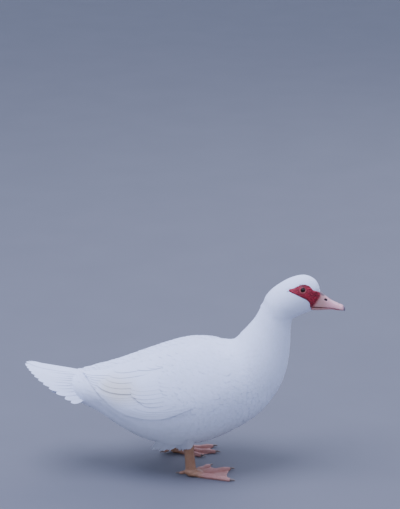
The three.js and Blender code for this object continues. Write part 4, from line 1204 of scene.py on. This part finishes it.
def legs():
    """Shanks, feet and claws, softened from the solids, with swellings at ankle and instep."""
    scales = leg_skin()
    horn = claw_horn()
    for name in SIDES:
        x, y, _ = FOOT_BASES[name]
        joint = ((x, y, 8.5), (10, 8.6, 6.4))
        instep = ((x + 6, y, 6.0), (15, 9.5, 5.6))
        softened(f"shank_{name}", f"shank_{name}_skin", 0.7, 12, scales, 0.9, joint)
        softened(f"foot_{name}", f"foot_{name}_skin", 0.6, 10, scales, 0.35, instep)
        for number in (1, 2, 3, 4):
            softened(f"claw_{name}_{number}", f"claw_{name}_{number}_horn", 0.3, 3, horn, 0.35)


# Room

FLOOR_HALF = 9.0


def floor(material):
    """A plain square under the bird, wide enough to fill the view. FLOOR_HALF is in metres."""
    corners = [(x * FLOOR_HALF, y * FLOOR_HALF, 0) for x, y in ((-1, -1), (1, -1), (1, 1), (-1, 1))]
    mesh = bpy.data.meshes.new("floor")
    mesh.from_pydata(corners, [], [(0, 1, 2, 3)])
    mesh.materials.append(material)
    made = into_scene("floor", mesh)
    made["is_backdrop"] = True


def soft_light(name, place, target, size, watts, colour):
    """A round panel that shines on the target. Its colour is an sRGB hex value."""
    data = bpy.data.lights.new(name, "AREA")
    data.shape = "DISK"
    data.size = size
    data.energy = watts
    data.color = linear(colour)[:3]
    made = into_scene(name, data)
    made.location = place
    aim = np.array(place) - np.array(target)
    made.rotation_euler = (math.atan2(math.hypot(aim[0], aim[1]), aim[2]), 0, math.atan2(aim[0], -aim[1]))


def room():
    floor(floor_paint())
    world = bpy.data.worlds.new("overcast")
    world.use_nodes = True
    sky = world.node_tree.nodes["Background"]
    sky.inputs["Color"].default_value = linear("#bccbf4")
    sky.inputs["Strength"].default_value = 1.5
    bpy.context.scene.world = world
    heart = (0.03, 0.0, 0.17)
    soft_light("sky_panel", (-0.8, -0.4, 2.9), heart, 2.0, 120, "#c8d4ff")
    soft_light("rear_panel", (1.2, 1.8, 1.9), heart, 1.8, 28, "#dfe5ff")


def camera():
    """The photograph's view: a long lens from shoulder height, looking a little down."""
    lens_px, frame_px, pitch = 2050, 509, 17.5
    data = bpy.data.cameras.new("camera")
    data.sensor_width = 36
    data.lens = lens_px * data.sensor_width / frame_px
    made = into_scene("camera", data)
    made.location = (0.0255, -3.2171, 1.3906)
    made.rotation_euler = (math.radians(90 - pitch), 0, 0)
    bpy.context.scene.camera = made


def main():
    camera()
    room()
    soft_white = plumage("soft_white_plumage", "#eff1ff", barbs=False)
    vane_white = plumage("white_feather_vanes", "#f0f2ff", barbs=True)
    skin(soft_white)
    body_coats(soft_white)
    neck_and_head_coats(soft_white)
    wings(soft_white, vane_white)
    tail(vane_white, soft_white)
    shins(soft_white)
    face(wattle_skin())
    eyes()
    leather = bill_skin()
    upper_bill(leather)
    lower_bill(leather)
    legs()


main()
[[list(corner) for corner in box] for box in (cad_box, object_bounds())]
